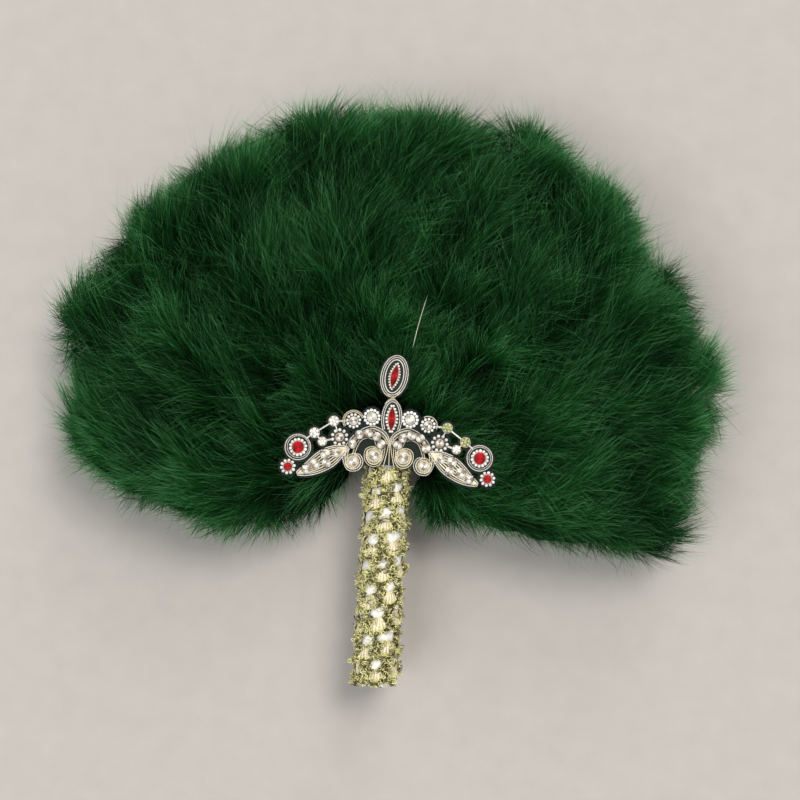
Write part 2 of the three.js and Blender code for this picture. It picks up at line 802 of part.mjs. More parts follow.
// The net that everything is sewn to: it shows a narrow edge round each motif.
function netBacking() {
  const pad = (outline, x, y, lean = 0) => {
    const points = Array.from({ length: net.sides }, (_, i) => {
      const angle = (2 * Math.PI * i) / net.sides;
      const radius = outline(angle) + net.margin;
      return new THREE.Vector2(radius * Math.cos(angle), radius * Math.sin(angle));
    });
    const sheet = flatSheet(new THREE.Shape(points), 0, net.thickness, 1);
    return sheet.rotateZ(THREE.MathUtils.degToRad(lean)).translate(x, y, 0);
  };
  const edge = leafEdge(-net.margin);
  const leafPoints = [...edge.map(([top]) => top), ...edge.map(([, bottom]) => bottom).reverse()];
  const side = joined([
    pad(circle(largeRuby.radius), largeRuby.x, largeRuby.y),
    pad(circle(smallRuby.radius), smallRuby.x, smallRuby.y),
    ...Object.values(rosettes).map(({ x, y, radius }) => pad(circle(radius), x, y)),
    ...volutes.map(({ x, y, radius }) => pad(circle(radius), x, y)),
    facingOut(flatSheet(new THREE.Shape(leafPoints), 0, net.thickness, 1)),
  ]);
  return joined([
    pad(oval(netPatch.halfWidth, netPatch.halfLength), 0, netPatch.y),
    pad(oval(upperMotif.halfWidth, upperMotif.halfLength), upperMotif.x, upperMotif.y, upperMotif.lean),
    pad(oval(lowerMotif.halfWidth, lowerMotif.halfLength), lowerMotif.x, lowerMotif.y),
    side,
    mirrored(side),
  ]).translate(0, neckHeight, appliqueLift);
}

addPart("handle_tube", handleTube(), materials.card);
addPart("butt_plug", buttPlug(), materials.wood);
addPart("satin_sleeve", satinSleeve(), materials.satin);
addPart("lace_winding", laceWinding(), materials.lace);
addPart("core_board", coreBoard(), materials.card);
addPart("front_facing", facing(1), materials.felt);
addPart("rear_facing", facing(-1), materials.felt);

for (const [tierName, tier] of Object.entries(plumeTiers)) {
  tier.tipShares.forEach((_, i) => {
    addPart(`${tierName}_plume_${i + 1}`, plume(tier, i), tier.material);
  });
}

addPart("applique_net", netBacking(), materials.net);

const marquiseOutline = navette(marquise.halfWidth, marquise.halfLength);
for (const [name, motif] of [["upper", upperMotif], ["lower", lowerMotif]]) {
  const edge = oval(motif.halfWidth, motif.halfLength);
  const mount = setting(edge, marquiseOutline, motif.beads, motif.wires);
  const gem = stone(marquiseOutline, marquise.halfWidth, marquise.height, marquise.facets);
  addPart(`${name}_marquise_setting`, setOn(mount, motif.x, motif.y, motif.lean), materials.silver);
  addPart(`${name}_marquise_stone`, setOn(gem, motif.x, motif.y, motif.lean), materials.ruby);
}

for (const [side, sign] of [["left", -1], ["right", 1]]) {
  for (const [name, ruby] of [["large", largeRuby], ["small", smallRuby]]) {
    const mount = setting(circle(ruby.radius), circle(ruby.stone), ruby.beads, ruby.wires);
    const gem = stone(circle(ruby.stone), ruby.stone, ruby.height, ruby.beads);
    addPart(`${side}_${name}_ruby_setting`, setOn(mount, sign * ruby.x, ruby.y), materials.silver);
    addPart(`${side}_${name}_ruby_stone`, setOn(gem, sign * ruby.x, ruby.y), materials.ruby);
  }
  const turn = sign > 0 ? (geometry) => geometry : mirrored;
  addPart(`${side}_leaf`, setOn(turn(leafWing()), 0, 0), materials.silver);
  addPart(`${side}_rosette_chain`, setOn(turn(rosetteChain()), 0, 0), materials.silver);
}
addPart("scrollwork", setOn(scrollwork(), 0, 0), materials.silver);

export default fan;
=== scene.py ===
from math import atan2, cos, pi, radians, sin, sqrt, tau

import bpy
import numpy as np
from mathutils import Matrix, Vector


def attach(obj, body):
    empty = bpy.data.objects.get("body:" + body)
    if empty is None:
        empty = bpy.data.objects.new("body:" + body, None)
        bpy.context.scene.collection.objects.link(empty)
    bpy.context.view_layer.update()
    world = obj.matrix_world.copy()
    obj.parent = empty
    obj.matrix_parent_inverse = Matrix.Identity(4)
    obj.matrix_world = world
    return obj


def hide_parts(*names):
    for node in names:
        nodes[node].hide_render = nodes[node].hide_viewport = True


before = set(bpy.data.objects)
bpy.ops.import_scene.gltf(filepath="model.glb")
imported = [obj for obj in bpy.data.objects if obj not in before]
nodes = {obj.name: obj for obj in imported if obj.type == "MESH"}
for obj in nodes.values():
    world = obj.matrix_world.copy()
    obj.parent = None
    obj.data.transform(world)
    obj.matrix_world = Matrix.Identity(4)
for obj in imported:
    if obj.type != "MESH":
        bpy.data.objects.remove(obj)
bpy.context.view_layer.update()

mm = 0.001
neckPoint = np.array([0.0, 168 * mm, 0.0])  # the plumes radiate from here
scene = bpy.context.scene


def unit(vectors):
    return vectors / np.maximum(np.linalg.norm(vectors, axis=-1, keepdims=True), 1e-12)


def polar(angle):
    return np.stack([np.cos(angle), np.sin(angle)], axis=-1)


def copies(faces, stride, count):
    # the same faces over count sets of points
    return (faces[None] + (stride * np.arange(count))[:, None, None]).reshape(-1, faces.shape[1])


def addObject(name, data):
    made = bpy.data.objects.new(name, data)
    scene.collection.objects.link(made)
    return made


def buildMesh(name, parts, materials, node=None):
    # parts: (points, faces, uv at each point, material number)
    layers, offset = [], 0
    for places, faces, uv, number in parts:
        faces = np.asarray(faces, dtype=np.int32)
        layers.append((places, (faces + offset).ravel(), uv[faces.ravel()],
                       np.full(len(faces), faces.shape[1]), np.full(len(faces), number)))
        offset += len(places)
    points, corners, uvs, sizes, numbers = map(np.concatenate, zip(*layers))

    def put(layer, key, values, kind=np.int32):
        layer.foreach_set(key, values.astype(kind).ravel())

    mesh = bpy.data.meshes.new(name)
    mesh.vertices.add(len(points))
    put(mesh.vertices, "co", points, np.float32)
    mesh.loops.add(len(corners))
    put(mesh.loops, "vertex_index", corners)
    mesh.polygons.add(len(sizes))
    put(mesh.polygons, "loop_start", np.cumsum(sizes) - sizes)
    put(mesh.polygons, "material_index", numbers)
    put(mesh.polygons, "use_smooth", np.ones(len(sizes)), bool)
    put(mesh.uv_layers.new(name="OFBake").data, "uv", uvs, np.float32)
    for material in materials:
        mesh.materials.append(material)
    mesh.update()
    mesh.validate()
    piece = addObject(name, mesh)
    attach(piece, "root")
    if node:
        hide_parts(node)


def newMaterial(name):
    material = bpy.data.materials.new(name)
    material.use_nodes = True
    return material, material.node_tree, material.node_tree.nodes["Principled BSDF"]


def fill(tree, node, values):
    # links or sets a node's inputs
    for key, value in values.items():
        if isinstance(value, bpy.types.NodeSocket):
            tree.links.new(value, node.inputs[key])
        else:
            node.inputs[key].default_value = value
    return node


def addNode(tree, kind, output, values, **settings):
    node = tree.nodes.new("ShaderNode" + kind)
    for key, value in settings.items():
        setattr(node, key, value)
    return fill(tree, node, values).outputs[output]


def ramp(tree, source, *stops):
    node = tree.nodes.new("ShaderNodeValToRGB")
    elements = node.color_ramp.elements
    while len(elements) < len(stops):
        elements.new(0.5)
    for element, (place, color) in zip(elements, stops):
        element.position = place
        element.color = (*color, 1)
    return fill(tree, node, {"Fac": source}).outputs["Color"]


def shaded(tree, grain, color, low, high):
    # one colour, darker and paler with the grain
    return ramp(tree, grain, (0.3, [low * c for c in color]), (0.7, [min(1, high * c) for c in color]))


def mixed(tree, factor, first, second, blend="MIX"):
    return addNode(tree, "Mix", 2, {0: factor, 6: first, 7: second}, data_type="RGBA", blend_type=blend)


def spread(tree, source, low, high):
    return addNode(tree, "MapRange", "Result", {"To Min": low, "To Max": high, "Value": source})


def bump(tree, height, strength, distance):
    return addNode(tree, "Bump", "Normal", {"Height": height, "Strength": strength, "Distance": distance})


def noise(tree, vector, scale, detail=3, roughness=0.55):
    return addNode(tree, "TexNoise", "Fac", {
        "Vector": vector, "Scale": scale, "Detail": detail, "Roughness": roughness})


def wave(tree, vector, scale, distortion, kind="BANDS"):
    values = {"Vector": vector, "Scale": scale, "Distortion": distortion}
    return addNode(tree, "TexWave", "Fac", values, wave_type=kind)


def objectPlace(tree):
    return addNode(tree, "TexCoord", "Object", {})


def ownTone(tree):
    # u runs along a barb or thread, v is the tone of the barb, thread, bead or facet
    uv = addNode(tree, "UVMap", "UV", {}, uv_map="OFBake")
    split = fill(tree, tree.nodes.new("ShaderNodeSeparateXYZ"), {"Vector": uv})
    return uv, split.outputs["X"], split.outputs["Y"]


# colours along a barb: root and shade are painted shade deep among the barbs; the paler tips are partly the
# barbs' own colour, partly painted light through their thin ends
fluffLook = {
    "root": (0.0001, 0.0008, 0.0002),
    "shade": (0.0003, 0.0032, 0.0006),
    "middle": (0.0017, 0.0190, 0.0030),
    "light": (0.0110, 0.0900, 0.0150),
    "tip": (0.1700, 0.5400, 0.2000),
    "sheen": 0.02, "shine": 0.03, "roughness": (0.5, 0.75),
}


def fluffMaterial(look):
    material, tree, shader = newMaterial("marabou")
    uv, along, tone = ownTone(tree)
    root, shade, middle, light, tip = (look[key] for key in ("root", "shade", "middle", "light", "tip"))
    # the ramps give painted shade at the roots and painted light towards the tips
    dark = ramp(tree, along, (0.0, root), (0.5, shade), (1.0, middle))
    pale = ramp(tree, along, (0.0, shade), (0.35, middle), (0.75, light), (1.0, tip))
    paler = ramp(tree, tone, (0.0, (0, 0, 0)), (0.5, (0.36, 0.36, 0.36)), (1.0, (1, 1, 1)))
    grain = noise(tree, uv, 38, 4, 0.65)
    shift = ramp(tree, grain, (0.3, (0.78, 0.84, 0.74)), (0.7, (1.2, 1.14, 1.22)))
    fill(tree, shader, {
        "Base Color": mixed(tree, 1.0, mixed(tree, paler, dark, pale), shift, "MULTIPLY"),
        "Roughness": spread(tree, grain, *look["roughness"]), "Normal": bump(tree, grain, 0.35, 0.2 * mm),
        "Sheen Weight": look["sheen"], "Sheen Roughness": 0.45, "Sheen Tint": (0.25, 0.75, 0.4, 1),
        "Specular IOR Level": look["shine"],
    })
    return material


plumeTiers = {
    "front_outer": {
        "count": 11, "side": 1, "rings": (0.33, 0.48, 0.62, 0.75), "abreast": (1, 2, 2, 2),
        "clumps": 86, "guards": 30, "hairs": 8, "length": 42, "width": 0.34, "tone": 0.21,
    },
    "front_middle": {
        "count": 8, "side": 1, "rings": (0.34, 0.53, 0.71), "abreast": (1, 2, 2),
        "clumps": 94, "guards": 30, "hairs": 8, "length": 42, "width": 0.32, "tone": 0.23,
    },
    "front_inner": {
        "count": 5, "side": 1, "rings": (0.07, 0.23, 0.43, 0.64), "abreast": (2, 2, 2, 2),
        "clumps": 80, "guards": 24, "hairs": 4, "length": 36, "width": 0.31, "tone": 0.33,
    },
    "rear_outer": {
        "count": 7, "side": -1, "rings": (0.2, 0.36, 0.52, 0.66, 0.78), "abreast": (3, 3, 3, 3, 4),
        "clumps": 38, "guards": 8, "hairs": 2, "length": 37, "width": 0.5, "tone": 0.50,
    },
    "rear_inner": {
        "count": 4, "side": -1, "rings": (0.05, 0.25, 0.45, 0.66), "abreast": (3, 3, 3, 3),
        "clumps": 42, "guards": 8, "hairs": 2, "length": 37, "width": 0.48, "tone": 0.44,
    },
}
# where the fluff ends, seen from the front: x, y in mm, round from the right of the handle
fringe = {
    "outline": (
        (18, 136), (33, 122), (63, 121), (107, 118), (141, 111), (182, 107), (214, 112), (224, 142),
        (221, 172), (233, 196), (234, 222), (229, 248), (218, 272), (210, 295), (194, 314), (182, 333),
        (172, 352), (161, 370), (144, 384), (124, 394), (88, 410), (51, 419), (17, 426), (-19, 424),
        (-52, 418), (-86, 409), (-120, 394), (-152, 374), (-189, 347), (-197, 329), (-204, 308),
        (-227, 290), (-241, 268), (-247, 244), (-244, 219), (-236, 196), (-232, 170), (-219, 149),
        (-193, 136), (-173, 122), (-148, 117), (-136, 102), (-109, 101), (-84, 106), (-62, 115),
        (-42, 134), (-36, 152), (-14, 160), (14, 152)),
    "growth": 1.045, "fullGrowth": 170, "rootInside": 7, "leastOut": -7, "mostOut": 27,
    # heights are pressed from the first number on, into the second at most
    "front": (32, 17), "rear": (22, 14.5),
    # painted light: barb tips near the outline are paler, as if lit through, and roots there lose their
    # painted shade
    "paintedRimLight": 0.56, "rimReach": 11, "droop": 0.36, "droopReach": 12, "paleRoots": 14,
}


def softLine(spots, steps=7, closed=False):
    # a soft line through a few spots
    spots = np.asarray(spots, dtype=float)
    if closed:
        a, b, c, d = (np.roll(spots, shift, 0)[:, None] for shift in (1, 0, -1, -2))
    else:
        held = np.concatenate([[2 * spots[0] - spots[1]], spots, [2 * spots[-1] - spots[-2]]])
        a, b, c, d = held[:-3, None], held[1:-2, None], held[2:-1, None], held[3:, None]
    t = (np.arange(steps) / steps)[None, :, None]
    line = 0.5 * (2 * b + (c - a) * t + (2 * a - 5 * b + 4 * c - d) * t**2 + (3 * b - a - 3 * c + d) * t**3)
    line = line.reshape(-1, spots.shape[1])
    return line if closed else np.concatenate([line, spots[-1:]])


fringeLine = softLine(fringe["outline"], 3, True) * mm


def beyondFringe(places):
    # how far a place is outside the fringe line, and the way out
    flat = places.reshape(-1, 1, 2)
    start, end = fringeLine, np.roll(fringeLine, -1, 0)
    run = end - start
    share = np.clip(((flat - start) * run).sum(-1) / (run**2).sum(-1), 0, 1)
    gap = flat - (start + share[..., None] * run)
    far = np.linalg.norm(gap, axis=-1)
    nearest = far.argmin(1)
    rows = np.arange(len(flat))
    distance, gap = far[rows, nearest], gap[rows, nearest]
    crosses = (start[:, 1] > flat[:, :, 1]) != (end[:, 1] > flat[:, :, 1])
    rise = np.where(np.abs(run[:, 1]) < 1e-9, 1e-9, run[:, 1])
    at = start[:, 0] + (flat[:, :, 1] - start[:, 1]) * run[:, 0] / rise
    inside = (crosses & (flat[:, :, 0] < at)).sum(1) % 2 == 1
    sign = np.where(inside, -1.0, 1.0)
    way = gap * (sign / np.maximum(distance, 1e-9))[:, None]
    return (distance * sign).reshape(places.shape[:-1]), way.reshape(places.shape)


def withinFringe(path, allowed):
    # shortens the barbs that pass the fan's outline by more than allowed, and flattens the fluff a little
    out = path.copy()
    off = out[..., :2] - neckPoint[:2]
    far = np.clip(np.linalg.norm(off, axis=-1) / (fringe["fullGrowth"] * mm), 0, 1) ** 2
    swell = 1 + (fringe["growth"] - 1) * far * np.clip(np.sin(np.arctan2(off[..., 1], off[..., 0])) * 3, 0, 1)
    out[..., :2] = neckPoint[:2] + off * swell[..., None]
    root, way = beyondFringe(out[:, 0, :2])
    shift = np.clip(root + fringe["rootInside"] * mm, 0, None)
    out[..., :2] -= (way * shift[:, None])[:, None]
    root = np.minimum(root, -fringe["rootInside"] * mm)
    for _ in range(2):
        tip = beyondFringe(out[:, -1, :2])[0]
        share = np.clip((allowed - root) / np.maximum(tip - root, 1e-6), 0.2, 1)
        out = out[:, :1] + (out - out[:, :1]) * np.where(tip > allowed, share, 1)[:, None, None]
    for key, sign in (("front", 1), ("rear", -1)):
        start, give = (v * mm for v in fringe[key])
        over = sign * out[..., 2] - start
        soft = give * (1 - np.exp(-np.clip(over, 0, None) / give))
        out[..., 2] = np.where(over > 0, sign * (start + soft), out[..., 2])
    return out


# what the applique presses down: x, y over the neck and radius, and how high the fluff stays there
pressedSpots = [(0.5, 64, 9), (0.5, 48, 9), (0.5, 33, 7), (0.5, 18, 8)] + [
    (sign * x, y, r) for sign in (-1, 1) for x, y, r in (
        (65.8, 0.5, 10), (72.2, -14, 6), (13.9, 25.4, 6.5), (27, 22, 6), (36.3, 9.6, 7), (41.2, 21, 4),
        (54.7, 11.6, 4.5), (48.6, 5.8, 4), (11.2, -2.8, 8), (25.3, -7.2, 7), (16, 8, 13), (38, -4, 7),
        (47, -8, 8), (57, -14, 7), (62, -17, 5), (0, 0, 14))]
pressedHeight, pressedSlope = 16.2, 1.6


def pressed(path):
    # barbs stay under what is sewn over them
    flat = path.copy()
    for x, y, radius in pressedSpots:
        off = np.hypot(path[..., 0] - x * mm, path[..., 1] - neckPoint[1] - y * mm)
        limit = pressedHeight * mm + np.clip(off - (radius + 1.5) * mm, 0, None) * pressedSlope
        flat[..., 2] = np.minimum(flat[..., 2], limit)
    return flat


# the soft down lies in clumps, finer, paler barbs stand over it, and single long hairs lie across them
# rim: how much painted rim light each kind of barb takes
barbKinds = {
    "clumps": {
        "many": 9, "gather": (0.1, 0.65), "length": 1.0, "width": 1.0, "tone": -0.12, "stray": 0.16, "lift": 0,
        "over": 0, "bend": 0.3, "past": (1.5, 6), "paleFrom": 0.03, "sheaf": 1.0, "rim": 0.9,
    },
    "guards": {
        "many": 4, "gather": (0.0, 0.25), "length": 1.2, "width": 0.5, "tone": 0.62, "stray": 0.25, "lift": 6,
        "over": 3, "bend": 0.45, "past": (8, 7), "paleFrom": 0.15, "sheaf": 1.2, "rim": 1.2,
    },
    "hairs": {
        "many": 6, "gather": (0.0, 0.2), "length": 1.3, "width": 0.46, "tone": 0.92, "stray": 0.12, "lift": -5,
        "over": 9, "bend": 0.75, "past": (17, 10), "paleFrom": 0.5, "sheaf": 2.6, "rim": 1.2,
    },
}
# how clumps leave a tuft: mm, then degrees from the plume's run and over its crown, then parts of the tone
tuftLook = {
    "spread": 6.2, "depth": 13, "step": 6,
    "fan": 31, "wander": 16, "drift": 14, "mostTurned": 105,
    "rise": 33, "sideFall": 9, "turnFall": 0.18, "tossed": 12, "frontFall": 8, "mostRisen": 72,
    "tiltedOut": 0.8, "heldFrom": (60, 95), "held": 0.45,  # clumps lie flatter round the applique
    "lengthSpread": 0.15, "barbLength": (0.6, 1.12), "rolled": 0.6, "barbWidth": (0.6, 1.3), "sway": 1.1,
    # valley and deep: painted shade between plumes and on low tufts; crown: painted light on barbs that stand
    # up
    "patches": 0.16, "valley": 0.24, "deep": 0.2, "crown": 0.22, "clumpTone": 0.05, "barbTone": 0.12,
}
crownAcross, crownHeight = [0, 0.66, 1, 1.25], [1, 0.83, 0.34, 0]
barbTaper = np.array([0.8, 1.0, 0.9, 0.62, 0.14])[None, :, None]
barbPoints = barbTaper.size


def plumeRows(node, side):
    # the plume's rows from its own mesh: radius from the neck, middle angle, half width, low and high
    mesh = nodes[node].data
    places = np.empty(len(mesh.vertices) * 3, dtype=np.float32)
    mesh.vertices.foreach_get("co", places)
    places = places.reshape(-1, 3).astype(float) - neckPoint
    radius = np.hypot(places[:, 0], places[:, 1])
    angle = np.arctan2(places[:, 1], places[:, 0])
    angle = np.where(angle < -pi / 2, angle + tau, angle)
    order = np.argsort(radius)
    table = []
    for row in np.split(order, np.flatnonzero(np.diff(radius[order]) > 0.02 * mm) + 1):
        if len(row) >= 6:
            a, z = angle[row], side * places[row, 2]
            middle, half = (a.min() + a.max()) / 2, (a.max() - a.min()) / 2
            table.append((radius[row].mean(), middle, half, z.min(), z.max()))
    return np.array(table)


def onPlume(rows, side, radius, across, lower=0.0):
    # a point on the plume's crown, lower is how far under it
    middle, half, low, high = (np.interp(radius, rows[:, 0], rows[:, i]) for i in range(1, 5))
    height = low + (high - low) * np.interp(np.abs(across), crownAcross, crownHeight) - lower
    flat = radius[..., None] * polar(middle + half * across)
    return neckPoint + np.concatenate([flat, (side * height)[..., None]], axis=-1)


def slowNoise(places, wavelength, seed):
    # a smooth field in -1..1 over the fan
    rng = np.random.default_rng(seed)
    total = np.zeros(places.shape[:-1])
    for _ in range(5):
        turn = rng.uniform(0, tau)
        step = tau / (wavelength * rng.uniform(0.7, 1.5))
        along = places[..., 0] * cos(turn) + places[..., 1] * sin(turn)
        total += np.sin(step * along + rng.uniform(0, tau))
    return total / 2.6


# light and dark places in the fluff: x, y and reach in mm, and how much paler
# painted light and painted shade: patches over 0 are painted light on puffs, those under 0 painted shade in
# hollows
paintedLightAndShade = [
    (-78, 376, 30, -0.5), (-148, 342, 26, -0.42), (-214, 245, 24, -0.36), (184, 246, 26, -0.46),
    (184, 148, 24, -0.46), (-188, 152, 26, -0.26), (21, 318, 22, -0.18), (94, 300, 18, -0.12),
    (118, 262, 22, -0.14), (-55, 352, 16, -0.14), (-84, 300, 34, 0.06), (55, 346, 22, 0.18),
    (145, 195, 22, 0.2), (-172, 250, 22, 0.1), (-94, 218, 26, 0.26), (62, 238, 26, 0.26), (86, 205, 22, 0.2),
    (-78, 137, 20, 0.22), (-25, 272, 26, 0.14), (-52, 170, 26, 0.14), (95, 150, 28, 0.12), (-28, 404, 12, 0.5),
    (-37, 376, 9, 0.4), (-239, 221, 12, 0.5)]


def paintedPatchTone(places):
    total = np.zeros(len(places))
    for x, y, reach, tone in paintedLightAndShade:
        off = np.hypot(places[:, 0] - x * mm, places[:, 1] - y * mm) / (reach * mm)
        total += tone * np.exp(-off**2)
    return total


def layTufts(look, rng):
    # tufts lie over one another like scales: share along the plume, place across, depth, tone, turn, size
    along, across = [], []
    for n, (share, abreast) in enumerate(zip(look["rings"], look["abreast"])):
        for k in range(abreast):
            along.append(share + 0.05 * (-1) ** (n + k))
            across.append((k + 0.5) / abreast * 2 - 1 + 0.16 * (-1) ** n)
    count = len(along)
    return {
        "along": np.array(along) + rng.uniform(-0.045, 0.045, count),
        "across": np.array(across) * 0.94 + rng.uniform(-0.16, 0.16, count),
        "depth": rng.uniform(0, tuftLook["depth"], count) * mm,
        "tone": rng.uniform(-0.36, 0.34, count),
        "turn": rng.normal(0, 24, count) + 14 * np.array(across),
        "size": rng.uniform(0.84, 1.16, count),
        "past": rng.normal(0, 6, count) * mm,
        "bend": rng.normal(0, 0.35, count),
    }


def growBarbs(rows, look, kindName, tufts, rng):
    # barbs burst forward and sideways from the middle of each tuft, in clumps
    side, kind, spreadOut = look["side"], barbKinds[kindName], tuftLook["spread"] * mm
    which = np.repeat(np.arange(len(tufts["along"])), look[kindName])
    amount = len(which)
    size = tufts["size"][which]

    # where each clump leaves its tuft
    spot = rng.normal(0, 1, (amount, 2)) * spreadOut * size[:, None]
    rootRadius, tipRadius = rows[0, 0], rows[-1, 0]
    centre = rootRadius + (tipRadius - rootRadius) * tufts["along"][which]
    radius = centre + spot[:, 0] * 1.2
    across = tufts["across"][which] + spot[:, 1] / (centre * np.interp(centre, rows[:, 0], rows[:, 2]))
    depth = tufts["depth"][which] + (rng.uniform(0, 3, amount) - kind["over"]) * mm
    base, ahead, behind, beside = (
        onPlume(rows, side, radius + step * tuftLook["step"] * mm, across + aside, depth)
        for step, aside in ((0, 0), (1, 0), (-1, 0), (0, 0.1)))
    flow = unit(ahead - behind)
    sideways = unit(beside - base)
    out = unit(np.cross(flow, sideways))
    out *= np.sign(out[:, 2:3]) * side
    out = unit(out + np.array([0, 0, tuftLook["tiltedOut"] * side]))

    # which way it points
    aside, forward = spot[:, 1] / spreadOut, spot[:, 0]
    turned = tuftLook["fan"] * aside + rng.normal(0, tuftLook["wander"], amount) + tufts["turn"][which]
    most = tuftLook["mostTurned"]
    turned = np.clip(turned + tuftLook["drift"] * slowNoise(base, 0.08, 11), -most, most)
    risen = tuftLook["rise"] - tuftLook["sideFall"] * np.abs(aside) - tuftLook["turnFall"] * np.abs(turned)
    risen = risen + rng.normal(0, tuftLook["tossed"], amount) + kind["lift"]
    risen -= tuftLook["frontFall"] * forward / spreadOut
    if side > 0:
        risen *= np.interp(centre, [reach * mm for reach in tuftLook["heldFrom"]], [tuftLook["held"], 1])
    turn, rise = np.radians(turned), np.radians(np.clip(np.abs(risen), 2, tuftLook["mostRisen"]))
    level = flow * np.cos(turn)[:, None] + sideways * np.sin(turn)[:, None]
    lead = unit(level * np.cos(rise)[:, None] + out * np.sin(rise)[:, None])
    bend = (rng.normal(0, kind["bend"], amount) + tufts["bend"][which])[:, None]
    later = unit(0.6 * lead + 0.6 * level + flow * 0.3 - out * 0.32 + sideways * bend)
    odd = np.clip(rng.normal(1, tuftLook["lengthSpread"], amount), 0.55, 1.35)
    length = kind["length"] * look["length"] * mm * size * odd

    # barbs of a clump leave a small patch and meet near its tip
    total = amount * kind["many"]
    clump = np.repeat(np.arange(amount), kind["many"])
    own = rng.normal(0, 1, (total, 3))
    sheaf = kind["sheaf"] * mm
    root = base[clump] + flow[clump] * own[:, :1] * 2.2 * sheaf + sideways[clump] * own[:, 1:2] * 1.6 * sheaf
    root += out[clump] * own[:, 2:] * 0.6 * mm
    aim = unit(lead[clump] + rng.normal(0, kind["stray"], (total, 3)))
    end = unit(later[clump] + rng.normal(0, kind["stray"] * 1.3, (total, 3)))
    stretch = (length[clump] * rng.uniform(*tuftLook["barbLength"], total))[:, None, None]
    t = np.linspace(0, 1, barbPoints)[None, :, None]
    early, late = t - 0.5 * t**2, 0.5 * t**2
    alone = root[:, None] + stretch * (aim[:, None] * early + end[:, None] * late)
    led = base[clump][:, None] + stretch * (lead[clump][:, None] * early + later[clump][:, None] * late)
    gather = rng.uniform(*kind["gather"], amount)[clump][:, None, None] * t**1.3
    path = alone * (1 - gather) + led * gather
    sway = rng.uniform(0, tau, (total, 1, 1)) + t * rng.uniform(4, 9, (total, 1, 1))
    path += np.sin(sway) * t * tuftLook["sway"] * mm * sideways[clump][:, None]

    allowed = rng.normal(*kind["past"], total) * mm + tufts["past"][which][clump]
    path = withinFringe(path, np.clip(allowed, fringe["leastOut"] * mm, fringe["mostOut"] * mm))
    if side > 0:
        path = pressed(path)

    # the fluff closes over the edge of the card
    tipGap = beyondFringe(path[:, -1, :2])[0]
    reach = fringe["droopReach"] * mm
    droop = fringe["droop"] * np.clip((tipGap + reach) / reach, 0, 1)
    path[..., 2] *= 1 - droop[:, None] * np.linspace(0, 1, barbPoints) ** 1.5

    # flat ribbons, each rolled about its own line
    line = np.gradient(path, axis=1)
    roll = rng.normal(0, tuftLook["rolled"], total)[:, None, None]
    edge = unit(np.cross(line, out[clump][:, None]))
    edge = edge * np.cos(roll) + unit(np.cross(edge, line)) * np.sin(roll)
    odd = rng.uniform(*tuftLook["barbWidth"], (total, 1, 1))
    half = kind["width"] * look["width"] * mm / 2 * odd * barbTaper
    points = np.stack([path - edge * half, path + edge * half], axis=2).reshape(-1, 3)
    k = np.arange(barbPoints - 1)
    quads = np.stack([2 * k, 2 * k + 1, 2 * k + 3, 2 * k + 2], axis=1)
    faces = copies(quads, 2 * barbPoints, total)

    # tones: slow random patches, painted shade darkening the valleys between plumes and the deep tufts,
    # painted light making crowns and rim paler
    patches = tuftLook["patches"] * slowNoise(base, 0.085, 31)
    patches += tuftLook["patches"] * slowNoise(base, 0.04, 37)
    patches += 0.1 - tuftLook["valley"] * np.clip(np.abs(across), 0, 1.2) ** 2
    patches -= tuftLook["deep"] * (tufts["depth"][which] / mm - 6) / 6
    tone = look["tone"] + kind["tone"] + tufts["tone"][which] + patches
    tone += rng.normal(0, tuftLook["clumpTone"], amount)
    tone += tuftLook["crown"] * (np.clip(risen - kind["lift"], 0, 60) - 28) / 28
    # painted light on barbs whose tips come near the outline, as if lit through
    rim = np.exp(np.clip(tipGap + 2 * mm, -1, 0) / (fringe["rimReach"] * mm))
    tone = tone[clump] + rng.normal(0, tuftLook["barbTone"], total) + paintedPatchTone(path[:, 3]) * (1 - 0.8 * rim)
    tone += fringe["paintedRimLight"] * kind["rim"] * rim * (0.9 + 0.5 * slowNoise(path[:, -1], 0.07, 43))
    # the painted root shade fades out near the outline
    rootGap = beyondFringe(path[:, 0, :2])[0]
    short = 0.4 * np.exp(np.clip(rootGap, -1, 0) / (fringe["paleRoots"] * mm))  # no dark roots at the outline
    u = np.linspace(kind["paleFrom"] + short * (1 - kind["paleFrom"]), 0.97, barbPoints, axis=1)
    uv = np.stack(np.broadcast_arrays(u, np.clip(tone, 0.03, 0.97)[:, None]), axis=-1)
    return points, faces, np.repeat(uv, 2, axis=1).reshape(-1, 2), 0


def downCore(rows, side):
    # the down inside a plume, smaller than the plume itself, in the dark root colour as painted shade deep in
    # the fluff
    ring, steps, lowSpots = 12, 10, 4
    shares = np.linspace(0, 1, steps)
    radius = rows[0, 0] + (rows[-1, 0] - 28 * mm - rows[0, 0]) * shares
    skin = []
    for r, share in zip(radius, shares):
        around = np.linspace(-0.9, 0.9, ring - lowSpots) * (1 - 0.45 * share**3)
        top = onPlume(rows, side, np.full(ring - lowSpots, r), around, 4.5 * mm)
        low = onPlume(rows, side, np.full(lowSpots, r), around[[-1, -3, 2, 0]] * 0.8)
        low[:, 2] = side * (np.interp(r, rows[:, 0], rows[:, 3]) + 0.4 * mm)
        top[:, 2] = side * np.maximum(side * top[:, 2], side * low[0, 2] + 0.3 * mm)
        skin.append(np.concatenate([top, low]))
    points = np.concatenate([*skin, [skin[0].mean(0)], [skin[-1].mean(0)]])
    faces, last = [], (steps - 1) * ring
    for j in range(ring):
        n = (j + 1) % ring
        for i in range(0, last, ring):
            faces += [(i + j, i + n, i + n + ring), (i + j, i + n + ring, i + j + ring)]
        faces += [(n, j, len(points) - 2), (last + j, last + n, len(points) - 1)]
    return points, np.array(faces)[:, ::side], np.tile([0.03, 0.04], (len(points), 1)), 0


